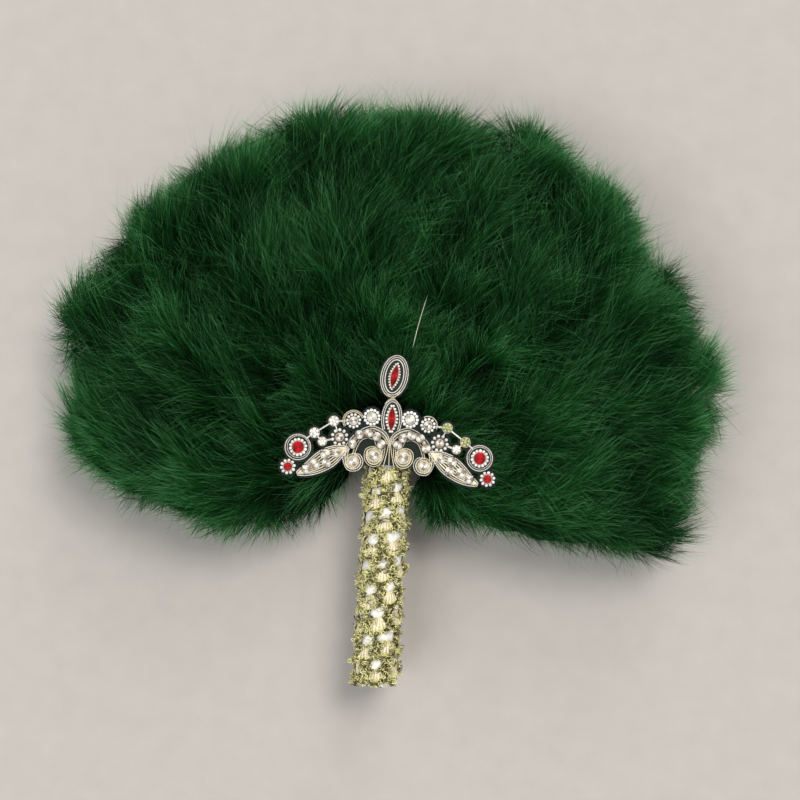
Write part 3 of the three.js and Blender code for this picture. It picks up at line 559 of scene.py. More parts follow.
def makePlumes():
    material = fluffMaterial(fluffLook)
    count = barbs = 0
    for tier, look in plumeTiers.items():
        for i in range(look["count"]):
            node = f"{tier}_plume_{i + 1}"
            rows = plumeRows(node, look["side"])
            rng = np.random.default_rng(1000 + 37 * count)
            tufts = layTufts(look, rng)
            parts = [growBarbs(rows, look, kindName, tufts, rng) for kindName in barbKinds]
            barbs += sum(len(part[1]) for part in parts) // (barbPoints - 1)
            buildMesh(node + "_fluff", [*parts, downCore(rows, look["side"])], [material], node)
            count += 1
    print("plumes:", count, "barbs:", barbs)


makePlumes()


def grid(rows, columns, closed):
    faces = []
    for i in range(rows - 1):
        for j in range(columns if closed else columns - 1):
            n = (j + 1) % columns
            faces.append((i * columns + j, i * columns + n, (i + 1) * columns + n, (i + 1) * columns + j))
    return faces


def tubes(paths, radius, sides, tone, number=0):
    # round threads along many lines at once: paths is (lines, points, 3), drawn to a point at both ends
    lines, count = paths.shape[:2]
    run = unit(np.gradient(paths, axis=1))
    helper = np.where(np.abs(run[:, :1, 2:]) > 0.75, [[[1.0, 0.0, 0.0]]], [[[0.0, 0.0, 1.0]]])
    first = unit(np.cross(run, helper))
    second = np.cross(run, first)
    around = np.arange(sides) * tau / sides
    radius = np.array(np.broadcast_to(np.asarray(radius, dtype=float), (lines, count)))
    radius[:, [0, -1]] *= 0.15
    ring = first[:, :, None] * np.cos(around)[:, None] + second[:, :, None] * np.sin(around)[:, None]
    points = (paths[:, :, None] + ring * radius[..., None, None]).reshape(-1, 3)
    faces = copies(np.array(grid(count, sides, True)), count * sides, lines)
    u = np.broadcast_to(np.linspace(0, 1, count)[None, :, None], (lines, count, sides))
    v = np.broadcast_to(np.asarray(tone, dtype=float).reshape(-1, 1, 1), (lines, count, sides))
    return points, faces, np.stack([u, v], axis=-1).reshape(-1, 2), number


def lengthOf(line):
    return np.linalg.norm(np.diff(line, axis=0), axis=1)


def evenly(line, count, *others):
    # the same line in even steps, with whatever else goes along it
    steps = np.concatenate([[0], np.cumsum(lengthOf(line))])
    at = np.linspace(0, steps[-1], count)
    moved = [np.column_stack([np.interp(at, steps, column) for column in rows.T]) for rows in (line, *others)]
    return at, *moved


def twistedCord(line, up, thickness, pitch, tone, number, perTwist, odd=0.0):
    # two strands laid round one another along a line of points, up is across the cord
    count = max(8, int(lengthOf(line).sum() / pitch * perTwist))
    at, path, ups = evenly(line, count, np.broadcast_to(up, line.shape))
    run = unit(np.gradient(path, axis=0))
    across = unit(np.cross(run, ups))
    angle = tau * (at / pitch + np.array([[0], [0.5]]))[..., None]
    offset = across * np.cos(angle) + np.cross(across, run) * np.sin(angle)
    return tubes(path + offset * thickness * 0.26, thickness * 0.28, 5, tone - odd * np.array([0, 1]), number)


def coiledWire(line, thickness, pitch, tone, number, sides=6):
    # fine wire wound close on itself: a tube with a groove at each turn
    count = max(9, int(lengthOf(line).sum() / pitch) * 2 + 1)
    radius = thickness / 2 * np.where(np.arange(count) % 2, 1.0, 0.72)
    return tubes(evenly(line, count)[1][None], radius[None], sides, [tone], number)


def ball(rings, sides):
    turns = np.arange(sides) * tau / sides
    points = [(0, 0, 1)]
    for fall in pi * np.arange(1, rings) / rings:
        points += [(sin(fall) * cos(turn), sin(fall) * sin(turn), cos(fall)) for turn in turns]
    points.append((0, 0, -1))
    faces = [(0, 1 + j, 1 + (j + 1) % sides) for j in range(sides)]
    for a, b, *_ in grid(rings - 1, sides, True):
        faces += [(a + 1, a + 1 + sides, b + 1 + sides), (a + 1, b + 1 + sides, b + 1)]
    last = len(points) - 1
    faces += [(last, last - sides + (j + 1) % sides, last - sides + j) for j in range(sides)]
    return np.array(points), np.array(faces)


def scattered(template, centres, size, tone, number):
    # copies of a small form at many places
    points, faces = template
    count = len(centres)
    spots = (points[None] * size + centres[:, None]).reshape(-1, 3)
    uv = np.stack([np.tile(points[:, 2] * 0.5 + 0.5, count),
                   np.repeat(np.broadcast_to(np.asarray(tone, dtype=float), count), len(points))], axis=-1)
    return spots, copies(faces, len(points), count), uv, number


def yarnMaterial(name, dark, light, metal, roughness, grainScale, gloss=0.5):
    material, tree, shader = newMaterial(name)
    base = ramp(tree, ownTone(tree)[2], (0.0, dark), (1.0, light))
    grain = noise(tree, objectPlace(tree), grainScale, 3, 0.6)
    shift = ramp(tree, grain, (0.3, (0.74, 0.74, 0.72)), (0.7, (1.2, 1.18, 1.14)))
    fill(tree, shader, {
        "Base Color": mixed(tree, 1.0, base, shift, "MULTIPLY"), "Roughness": spread(tree, grain, *roughness),
        "Normal": bump(tree, grain, 0.4, 0.2 * mm), "Metallic": metal, "Specular IOR Level": gloss,
    })
    return material


def satinMaterial(name, color):
    material, tree, shader = newMaterial(name)
    place = objectPlace(tree)
    patch = noise(tree, place, 120, 4)
    weave = mixed(tree, 0.6, wave(tree, place, 900, 1.5), patch)
    fill(tree, shader, {
        "Base Color": shaded(tree, patch, color, 0.88, 1.06), "Roughness": spread(tree, patch, 0.3, 0.46),
        "Normal": bump(tree, weave, 0.12, 0.3 * mm), "Sheen Weight": 0.2,
    })
    return material


handle = {
    "satinRadius": 13.35, "satinTop": 163, "pleats": 9, "pleatDepth": 0.16, "puff": 1.25,
    "bottom": 0.8, "top": 161.5, "pitch": 18, "bandWidth": 14.2, "motifsPerTurn": 5.5, "skinRadius": 14.25,
    "shellWidth": 6.2, "shellLow": -8.4, "shellHigh": 1.4, "shellRise": 1.5, "ribs": 5, "wander": 1.6,
    "patchMiddle": 4.8, "patchHalfHeight": 5.2, "patchHalfWidth": 6.0, "ragged": 0.34,
    "threads": 5250, "threadRadius": 0.4, "threadReach": 2.9, "threadRise": 2.4, "bulge": 2.6,
    "threadLength": (0.5, 1.4), "threadCurl": (3.0, 7.0), "threadWidth": (0.7, 1.2),
    # on a shell: the row it lies on, points left out at its ends, thickness, lift and tone
    "shellCords": ((-1, 0, 1.2, 0.15, 0.7), (-3, 3, 0.7, 0.3, 0.95)), "cordTwist": 1.9,
}
skin, pitch, perTurn = handle["skinRadius"], handle["pitch"], handle["motifsPerTurn"]
laceLow, laceHigh, halfBand = handle["bottom"], handle["top"], handle["bandWidth"] / 2
shellLow, shellHigh = handle["shellLow"], handle["shellHigh"]


def onHandle(angle, height, radius):
    return np.stack([radius * np.sin(angle), height, radius * np.cos(angle)], axis=-1) * mm


def chance(number, salt):
    # a fixed share of 0..1 for each whole number
    return np.abs(np.sin(number * 12.9898 + salt * 78.233) * 43758.5453) % 1


def wander(number, salt):
    return handle["wander"] * (chance(number, salt) - 0.5)


def motifPlace(angle, height):
    # where a spot lies within its own lace motif: across and up from the motif's middle in mm, and its number
    turnShare = (height - laceLow + halfBand) / pitch - angle / tau
    turn = np.round(turnShare)
    motif = (angle / tau + turn) * perTurn - 0.5
    number = np.round(motif)
    across = (motif - number) * tau * skin / perTurn
    return across + wander(number, 1), (turnShare - turn) * pitch + wander(number, 2), number


def openSatin(across, up, number):
    # over 1 where thread covers the band, under 1 on the shells and the bare satin over them
    size = 0.55 + 0.75 * chance(number, 3)
    over = up - handle["patchMiddle"]
    turn = np.arctan2(over, across)
    ragged = np.sin(3 * turn + 9 * number) * 0.6 + np.sin(7 * turn + 5 * number) * 0.4
    ragged = 1 + handle["ragged"] * ragged
    patch = np.hypot(across / handle["patchHalfWidth"], over / handle["patchHalfHeight"])
    middle = (shellLow + shellHigh) / 2
    shell = np.hypot(across / handle["shellWidth"], (up - middle) / (shellHigh - middle))
    return np.minimum(patch / (size * ragged), shell / (0.35 + 0.4 * chance(number, 4)))


def satinCover():
    around, rows, inside = 128, 90, 12.9
    angle = np.linspace(0, tau, around, endpoint=False)
    a, h = np.meshgrid(angle, np.linspace(0.3, handle["satinTop"], rows))
    across, up, number = motifPlace(a, h)
    puff = handle["puff"] * np.clip(1.2 - np.hypot(across / 7, (up - handle["patchMiddle"]) / 6), 0, 1) ** 0.7
    puff *= np.clip((laceHigh - h) / 6, 0, 1)
    folds = handle["pleatDepth"] * np.sin(handle["pleats"] * a + 0.12 * h + 1.4 * np.sin(0.21 * h))
    points = onHandle(a, h, handle["satinRadius"] + puff + folds).reshape(-1, 3)
    base, last = len(points), (rows - 1) * around
    rim = [(j, (j + 1) % around) for j in range(around)]
    low = [(j, base + j, base + n, n) for j, n in rim]
    high = [(last + n, base + around + n, base + around + j, last + j) for j, n in rim]
    wall = [(base + j, base + around + j, base + around + n, base + n) for j, n in rim]
    points = np.concatenate([points, onHandle(a[[0, -1]], h[[0, -1]], inside).reshape(-1, 3)])
    return points, grid(rows, around, True) + low + high + wall, np.zeros((len(points), 2)), 0


def motifMiddles():
    # angle, height and number of every motif's middle on the helix
    turns = (laceHigh - laceLow + 2 * halfBand) / pitch + 1
    number = np.arange(-3, turns * perTurn + 3)
    angle = tau * (number + 0.5) / perTurn
    return zip(angle, laceLow - halfBand + pitch * angle / tau, number)


def laceShells():
    # gold and cream scallop shells with ribs, each with cords round its lower edge
    columns, rows = 31, 12
    side, fall = np.meshgrid(np.linspace(-1, 1, columns), np.linspace(0, 1, rows))
    narrow = 0.42 + 0.58 * np.sin(fall * pi * 0.5)
    drop = shellHigh + (shellLow - shellHigh) * fall * (1 - 0.34 * side**2 * fall)
    rib = np.abs(np.cos(side * handle["ribs"] * pi / 2)) ** 0.8
    rise = handle["shellRise"] * (1 - side**2) ** 0.5 * (0.35 + 0.65 * np.sin(fall * pi * 0.85))
    rise += 0.8 * rib * fall
    faces = np.array(grid(rows, columns, False))[:, ::-1]
    # tone: paler on the rib crests, with painted shade in the grooves between ribs, and darker towards the
    # shell's top
    uv = np.stack([rib.ravel(), rib.ravel() * (0.35 + 0.65 * fall.ravel())], axis=-1)
    for angle, height, number in motifMiddles():
        size = 0.86 + 0.24 * chance(number, 6)
        across = side * handle["shellWidth"] * narrow * size - wander(number, 1)
        h = height + drop * size + across * (pitch / (tau * skin)) - wander(number, 2)
        if h.min() < laceLow - 0.4 or h.max() > laceHigh:
            continue
        points = onHandle(angle + across / skin, h, skin + rise)
        yield points.reshape(-1, 3), faces, uv, 0
        for row, cut, thickness, lift, tone in handle["shellCords"]:
            line = points[row][cut:columns - cut]
            outward = unit(line * np.array([1, 0, 1]))
            line = line + outward * lift * mm
            yield twistedCord(line, outward, thickness * mm, handle["cordTwist"] * mm, tone, 1, 5)


def laceGround():
    # the woven gold ground under the threads, open where the satin shows, at the thread's darkest tone as
    # painted shade under the curls
    around, rows = 150, 200
    turn = np.linspace(0, tau, around, endpoint=False)
    a, h = np.meshgrid(turn, np.linspace(laceLow, laceHigh, rows))
    across, up, number = motifPlace(a, h)
    rough = 0.25 * np.sin(across * 4.1) * np.sin(up * 3.7)
    points = onHandle(a, h, skin + 0.5 + rough).reshape(-1, 3)
    covered = (openSatin(across, up, number) > 1).ravel()
    faces = np.array(grid(rows, around, True))
    used, faces = np.unique(faces[covered[faces].all(axis=1)], return_inverse=True)
    return points[used], faces.reshape(-1, 4), np.tile([0.5, 0.04], (len(used), 1)), 1


def laceThreads(rng, amount):
    # crinkled metal thread in curls over the ground, thicker in some places than in others
    angle = rng.uniform(0, tau, amount * 3)
    height = rng.uniform(laceLow - 0.6, laceHigh, amount * 3)
    over = openSatin(*motifPlace(angle, height))
    keep = np.flatnonzero(over + rng.normal(0, 0.12, len(angle)) > 1.03)[:amount]
    angle, height, over = angle[keep], height[keep], over[keep]
    total, count = len(keep), 7
    t = np.linspace(0, 1, count)[None]
    reach = handle["threadReach"] * rng.uniform(*handle["threadLength"], (total, 1))
    heading = rng.uniform(0, tau, (total, 1))
    swing = heading + rng.uniform(*handle["threadCurl"], (total, 1)) * t * rng.choice([-1, 1], (total, 1))
    slide, climb = (np.cumsum(way(swing), axis=1) / count * reach * 2 for way in (np.cos, np.sin))
    sheet = np.stack([angle * skin, height], axis=-1)
    bulge = handle["bulge"] * np.clip(slowNoise(sheet, 11, 51) + 0.5 * slowNoise(sheet, 5, 53), 0, 1)[:, None]
    edge = np.clip((over - 1) / 0.4, 0.3, 1)[:, None]
    arch = (handle["threadRise"] + bulge) * rng.uniform(0.15, 1.0, (total, 1)) * edge * np.sin(pi * t) ** 0.7
    radius = skin + 0.4 + 0.35 * bulge + arch + np.abs(rng.normal(0, 0.2, (total, count)))
    lift = np.clip(height[:, None] + climb, 0.1, laceHigh + 1)
    where = onHandle(angle[:, None] + slide / skin, lift, radius)
    # painted light and shade: most threads lie near one end, the bright ones painted glints, the dark ones
    # painted shade between the curls
    tone = 0.5 + 0.5 * np.sin(pi * (rng.random(total) ** 0.7 - 0.5))  # few between dark and bright
    tone = np.clip(tone + 0.34 * slowNoise(sheet, 6, 57) + 0.16 * slowNoise(sheet, 17, 59) + 0.04, 0, 1)
    return tubes(where, handle["threadRadius"] * mm * rng.uniform(*handle["threadWidth"], (total, 1)), 3, tone)


bareQuill = {"from": (12.3, 244.0, 34.0), "to": (20.5, 281.5, 43.0), "bow": 0.5, "thickness": (0.62, 0.3)}


def makeQuill(look):
    # one stripped quill end stands out of the fluff over the applique
    t = np.linspace(0, 1, 7)[:, None]
    line = (1 - t) * np.array(look["from"]) + t * np.array(look["to"])
    line[:, 0] -= look["bow"] * np.sin(pi * t[:, 0])
    radius = np.interp(t[:, 0], [0, 1], look["thickness"])[None] * mm / 2
    paleQuill = yarnMaterial("paleQuill", (0.30, 0.34, 0.18), (0.80, 0.82, 0.66), 0.0, (0.4, 0.6), 500)
    buildMesh("bare_quill", [tubes(line[None] * mm, radius, 6, [0.7])], [paleQuill])


makeQuill(bareQuill)


def makeHandle():
    satin = satinMaterial("creamSatin", (0.95, 0.92, 0.87))
    shell = yarnMaterial("creamShell", (0.55, 0.46, 0.23), (1.0, 0.94, 0.80), 0.1, (0.3, 0.5), 900)
    # the near-white and near-black ends of the thread colour stand for painted glints and painted shade
    thread = yarnMaterial("goldThread", (0.070, 0.055, 0.004), (1.0, 0.95, 0.48), 0.22, (0.2, 0.4), 700)
    buildMesh("satin_cover", [satinCover()], [satin], "satin_sleeve")
    buildMesh("lace_band", [*laceShells(), laceGround()], [shell, thread], "lace_winding")
    rng = np.random.default_rng(77)
    buildMesh("lace_threads", [laceThreads(rng, handle["threads"])], [thread])
    print("handle: satin, lace band and threads")


makeHandle()


# name, dark, light, metal, roughness, grain and gloss of what the applique is sewn from
trims = (
    ("silverWire", (0.11, 0.085, 0.05), (1.0, 0.97, 0.90), 0.18, (0.2, 0.4), 800),
    ("paleGoldWire", (0.20, 0.13, 0.05), (1.0, 0.92, 0.71), 0.3, (0.22, 0.42), 800),
    ("whiteBead", (0.55, 0.53, 0.49), (1.0, 0.99, 0.96), 0.0, (0.12, 0.25), 300),
    ("clearStone", (0.22, 0.14, 0.07), (1.0, 0.99, 0.94), 0.1, (0.04, 0.12), 250, 0.9),
    ("rubyStone", (0.07, 0.0003, 0.002), (0.56, 0.003, 0.009), 0.0, (0.06, 0.16), 250, 0.35),
    ("paleGreenGlass", (0.18, 0.20, 0.05), (0.66, 0.68, 0.36), 0.1, (0.08, 0.2), 300, 0.8),
    # the dark ground is partly the backing, partly painted shade in the gaps round stones, coils and cords
    ("darkGround", (0.003, 0.006, 0.004), (0.022, 0.024, 0.02), 0.0, (0.7, 0.9), 900),
)
silver, gold, pearl, crystal, ruby, greenGlass, ground = range(len(trims))
roundBead, clawTip = ball(6, 9), ball(4, 6)

applique = {
    "lift": 18.2,  # the net's upper face over the handle's axis
    "wire": 0.84, "fineWire": 0.72, "doubleWire": 0.76, "beadHeight": 1.25,
    "upperMotif": {"x": 0.5, "y": 56.2, "halfLength": 15.6, "halfWidth": 10, "lean": -8},
    "lowerMotif": {"x": 0.5, "y": 25.2, "halfLength": 14.2, "halfWidth": 7.6, "lean": 0},
    "marquise": {"halfLength": 9.1, "halfWidth": 2.55, "height": 3.6},
    # shares of a stone's radius and height, then the painted reflections: how light its facets are and how
    # much that varies
    "facets": {"table": (0.6, 1.0), "crown": (0.84, 0.68), "girdle": (1.0, 0.3), "foot": (0.8, 0.0)},
    "paintedReflection": {"middle": 0.52, "swing": 0.62, "odd": 0.2},
    "largeRuby": {"x": 65.8, "y": 0.5, "stone": 4.3, "radius": 9.5, "beads": 14, "ring": 5.6, "size": 1.2},
    "smallRuby": {"x": 72.2, "y": -14, "stone": 3.1, "radius": 5.7, "beads": 10, "ring": 4.6, "size": 1.2},
    "rosettes": {
        "white": {"x": 13.9, "y": 25.4, "beads": 13, "ring": 5.2, "size": 1.22, "gem": 3.2, "tone": 0.95},
        "coil": {"x": 27, "y": 22, "beads": 11, "ring": 4.6, "size": 1.1, "gem": 2.7, "tone": 0.75},
        "antique": {"x": 36.3, "y": 9.6, "beads": 10, "ring": 5.3, "size": 1.25, "gem": 2.7, "tone": 0.55},
    },
    "flowers": {
        "nearLink": {"x": 41.2, "y": 21, "petals": 6, "ring": 2.5, "size": 1.35},
        "farLink": {"x": 54.7, "y": 11.6, "petals": 6, "ring": 2.5, "size": 1.35},
        "pale": {"x": 48.6, "y": 5.8, "petals": 6, "ring": 2.0, "size": 1.15},
    },
    "threads": (((27, 22), (41.2, 21)), ((41.2, 21), (54.7, 11.6)), ((54.7, 11.6), (62, 6)),
                ((36.3, 9.6), (48.6, 5.8)), ((48.6, 5.8), (54.7, 11.6)), ((41.2, 21), (36.3, 9.6))),
    # along, down and half width of the leaf, then its crystals
    "leaf": {
        "rows": ((29.5, 2.4, 0.9), (33.5, 0.6, 3.4), (37.6, -1.6, 5.4), (42.4, -4.8, 6.9), (47.6, -8.4, 7.0),
                 (52.6, -11.9, 6.1), (57.4, -14.9, 4.6), (61.6, -17.0, 2.9), (65.2, -18.4, 1.2)),
        "gems": ((38.2, -1.9, 3.1), (45.8, -3.2, 3.6), (44.6, -9.8, 3.2), (52.6, -10.8, 3.7),
                 (59.0, -15.2, 3.3)),
        "coils": (-0.66, -0.33, 0.0, 0.33, 0.66), "pillow": 1.3,
    },
    "volutes": ((10.6, -2.4, 3.6), (25.7, -7.4, 3.3)),
    "arch": {"x": 16.2, "y": 4.6, "halfWidth": 10.4, "height": 9.2, "gem": 3.3,
             "shares": (0.94, 0.72, 0.52, 0.31, 0.02)},
    "wires": (
        (silver, ((0.2, 8.6), (3.2, 13.8), (8, 17), (14, 18.2), (21.2, 15), (27.8, 8.4), (31.8, 0.6),
                  (32, -6.8), (28.4, -13), (22.2, -12.8), (19, -7.8), (21.2, -2.9), (26, -2.4))),
        (gold, ((0.2, 6.8), (4.4, 12.2), (8.6, 15.2), (14.2, 16.4), (20.2, 13.4), (26, 7.2), (30, 0.2),
                (30.4, -6.6), (27.6, -11.4), (23, -11.2))),
        (gold, ((1.4, 12), (3.6, 4.6), (4.6, -3), (7.4, -8.4), (12.6, -9), (16.6, -5), (16.4, 1.4),
                (11.6, 3.6), (6.6, 1.4), (6.2, -3.8))),
        (silver, ((3, 9), (5.4, 1.6), (6, -3.2), (8.6, -7), (12.4, -7.2), (14.9, -4), (14.6, 0.2))),
        (gold, ((8.6, 5), (11, 9.4), (16, 11), (21, 8.6), (23.8, 3.4), (25.6, -2.2))),
    ),
    "fan": ((-3.6, -10.4), (0.6, -11.6), (4.4, -9.8)),
}


def onApplique(spots, height=0.0):
    # x, y in mm from the neck and a height over the net
    spots = np.asarray(spots, dtype=float)
    level = np.full(len(spots), applique["lift"]) + height
    return np.column_stack([spots[:, 0], spots[:, 1], level]) * mm + np.array([0, neckPoint[1], 0])


def mirroredTo(sign, spots):
    spots = np.array(spots, dtype=float)
    spots[..., 0] *= sign
    return spots


def ringSpots(x, y, radius, count, phase=0.0, closing=0):
    return (x, y) + radius * polar(phase + tau * np.arange(count + closing) / count)


def ovalSpots(motif, inset, share=(0, 1.02), count=72):
    turn = tau * (np.linspace(*share, count) + 0.25)
    lean = radians(motif["lean"])
    across = (motif["halfWidth"] - inset) * np.cos(turn)
    up = (motif["halfLength"] - inset) * np.sin(turn)
    return np.column_stack([motif["x"] + across * cos(lean) - up * sin(lean),
                            motif["y"] + across * sin(lean) + up * cos(lean)])


def cord(spots, height, tone, number, thickness=applique["fineWire"]):
    line, front, lay = onApplique(spots, height), np.array([0, 0, 1.0]), thickness * 2.1 * mm
    return twistedCord(line, front, thickness * mm, lay, tone, number, 8, 0.4)


def besideOf(line):
    run = unit(np.gradient(line, axis=0))
    return np.column_stack([-run[:, 1], run[:, 0]])


def wire(spots, height, radius, tone, number, sides=5):
    return tubes(onApplique(spots, height)[None], radius * mm, sides, [tone], number)


def beads(spots, height, size, tone, number, form=roundBead):
    return scattered(form, onApplique(spots, height), size * mm, tone, number)


def navette(halfWidth, halfLength):
    # the radius of a pointed oval at an angle from its short axis
    arc = (halfLength**2 + halfWidth**2) / (2 * halfWidth)

    def radius(angle):
        c = np.abs(np.cos(angle)) * (arc - halfWidth)
        return np.sqrt(c**2 + arc**2 - (arc - halfWidth) ** 2) - c
    return radius


def cutStone(x, y, outline, rng, number, height, low, tones=(0.14, 1.0), sides=8, lean=None):
    # table, star, kite and girdle facets, with painted reflections: light and dark in turn round the stone, as
    # if they mirrored a room
    lean = rng.uniform(0, 1) if lean is None else lean
    turn = pi * np.arange(2 * sides + 2) / sides
    radius = outline(turn) if callable(outline) else np.full(len(turn), float(outline))

    def ring(share, level):
        spots = share * radius[:, None] * polar(turn + lean)
        return np.column_stack([spots + (x, y), np.full(len(turn), low + level * (height - low))])

    table, crown, girdle, foot = (ring(*place) for place in applique["facets"].values())
    top, bottom = np.array([x, y, height]), np.array([x, y, low])
    corners, shades = [], []
    look, glint = applique["paintedReflection"], rng.uniform(0, tau)
    for k in range(0, 2 * sides, 2):
        before = crown[k - 1] if k else crown[2 * sides - 1]
        facets = [
            [(top, table[k], table[k + 2])], [(table[k], crown[k + 1], table[k + 2])],
            [(table[k], before, girdle[k]), (table[k], girdle[k], crown[k + 1])],
            [(crown[k + 1], girdle[k], girdle[k + 1])], [(crown[k + 1], girdle[k + 1], girdle[k + 2])]]
        facets += [[(girdle[j], foot[j], foot[j + 1]), (girdle[j], foot[j + 1], girdle[j + 1]),
                    (bottom, foot[j + 1], foot[j])] for j in (k, k + 1)]
        for facet in facets:
            off = np.mean(facet, axis=(0, 1)) - (x, y, 0)
            swing = look["swing"] * sin(2 * atan2(off[1], off[0]) + glint)
            light = min(max(look["middle"] + swing + rng.normal(0, look["odd"]), 0), 1)
            corners += [corner for triangle in facet for corner in triangle]
            shades += [tones[0] + (tones[1] - tones[0]) * light] * (3 * len(facet))
    corners = np.array(corners)
    uv = np.column_stack([np.full(len(corners), 0.5), shades])
    return onApplique(corners[:, :2], corners[:, 2]), np.arange(len(corners)).reshape(-1, 3), uv, number


def cushion(outline, height, tone, rings=4):
    # a low padded form of the dark ground over a closed line of spots: backing, and painted shade in the gap
    # round what is sewn on it
    outline = np.asarray(outline, dtype=float)
    middle = outline.mean(0)
    rows = [onApplique(outline)]
    for turn in np.arange(rings) / rings * pi / 2:
        level = height * (0.45 + 0.55 * sin(turn))
        rows.append(onApplique(middle + (outline - middle) * cos(turn) ** 0.6, level))
    count = len(outline)
    points = np.concatenate([*rows, onApplique([middle], height), onApplique([middle])])
    faces = [face for a, b, c, d in grid(len(rows), count, True) for face in ((a, b, c), (a, c, d))]
    last = (len(rows) - 1) * count
    for j in range(count):
        n = (j + 1) % count
        faces += [(last + j, last + n, len(points) - 2), (n, j, len(points) - 1)]
    return points, faces, np.tile([0.5, tone], (len(points), 1)), ground


def roundCushion(x, y, radius, height, tone, count=24):
    return cushion(ringSpots(x, y, radius, count), height, tone)


def collet(x, y, radius, number, claws, tone):
    # the metal cup of a stone, with claws over its edge
    yield wire(ringSpots(x, y, radius + 0.1, 22, 0, 2), 0.75, 0.55, tone, number, 6)
    if claws:
        yield beads(ringSpots(x, y, radius - 0.1, claws, pi / 4), 1.5, 0.42, tone + 0.2, number, clawTip)


def marquiseMotif(motif, rng, upper):
    # the mount's parts, then the stone
    yield cushion(ovalSpots(motif, 0.8, (0, 1), 36)[:-1], 0.7, 0.3)
    for inset in (0.35, 1.75):
        oval = ovalSpots(motif, inset, (0, 1.02) if upper else (-0.36, 0.36))
        yield cord(oval, 0.8, 1.0, silver)
    if upper:
        yield coiledWire(onApplique(ovalSpots(motif, 3.4), 0.8), 0.9 * mm, 0.5 * mm, 0.8, silver)
    gem = applique["marquise"]
    lean = radians(motif["lean"] - (2 if upper else 0))
    outline = navette(gem["halfWidth"], gem["halfLength"])
    turn = np.linspace(0, tau, 120)

    def aroundStone(gap):
        return (motif["x"], motif["y"]) + (outline(turn) + gap)[:, None] * polar(turn + lean)

    many, size = (21, 0.74) if upper else (18, 0.98)
    ring = evenly(onApplique(aroundStone(size + 0.35), applique["beadHeight"] - 0.1), many + 1)[1][:-1]
    ring[:, 2] += rng.uniform(0, 0.2, many) * mm
    yield scattered(roundBead, ring, size * mm, rng.uniform(0.6, 1, many), pearl)
    yield wire(aroundStone(0.15), 1.0, 0.4, 0.6, gold)
    yield cutStone(motif["x"], motif["y"], outline, rng, ruby, gem["height"], 0.6, (0.25, 1.0), 8, lean)


def rubyMount(look, sign, rng, wires):
    # the mount's parts, then the stone
    x, y = sign * look["x"], look["y"]
    yield roundCushion(x, y, look["radius"] - 0.9, 0.7, 0.25)
    for i in range(wires):
        spots = ringSpots(x, y, look["radius"] - 0.3 - 1.3 * i, 40, 0.4, 2) + 0.2 * rng.normal(0, 1, 2)
        yield cord(spots, 0.7, 1.0 - 0.25 * i, silver)
    ring, tones = ringSpots(x, y, look["ring"], look["beads"], 0.2), rng.uniform(0.6, 1, look["beads"])
    yield beads(ring, applique["beadHeight"], look["size"], tones, pearl)
    yield from collet(x, y, look["stone"], silver, 0, 0.5)
    yield cutStone(x, y, look["stone"], rng, ruby, 3.8, 0.6, (0.4, 1.0), 10)


def leafEmbroidery(sign, rng):
    look = applique["leaf"]
    rows = softLine(look["rows"], 5)
    spine, half = rows[:, :2], rows[:, 2:]
    across = besideOf(spine)

    def edge(share, inset=0.0):
        return mirroredTo(sign, spine + across * np.maximum(half - inset, 0.1) * share)

    # the padding under the coils, and its underside, darker as painted shade
    shares = np.linspace(-1, 1, 9)
    level = look["pillow"] * np.sqrt(np.clip(1 - shares**2, 0, 1)) + 0.05
    for strip, tone, order in ((list(zip(shares, level)), 0.9, -sign), (((-1, 0.0), (1, 0.0)), 0.1, sign)):
        net = np.array([onApplique(edge(share), height) for share, height in strip])
        faces = np.array(grid(len(strip), len(spine), False))[:, ::order]
        yield net.reshape(-1, 3), faces, np.tile([0.5, tone], (net.size // 3, 1)), ground
    for share in look["coils"]:
        line = onApplique(edge(share, 1.2), look["pillow"] * sqrt(1 - share**2) + 0.3)[1:-1]
        yield coiledWire(line, 1.05 * mm, 0.5 * mm, 0.72 + 0.28 * rng.random(), gold)
    for inset, number in ((0.0, silver), (1.35, gold)):
        closed = np.concatenate([edge(1, inset), edge(-1, inset)[::-1], edge(1, inset)[:2]])
        yield cord(closed, 0.85 + 0.25 * inset, 1.0, number, applique["wire"])
    for x, y, radius in mirroredTo(sign, look["gems"]):
        yield roundCushion(x, y, radius + 0.8, 1.9, 0.2, 18)
        yield cutStone(x, y, radius, rng, crystal, 4.2, 1.4)
        yield beads(ringSpots(x, y, radius, 4, 0.8), 2.5, 0.5, 0.9, silver, clawTip)


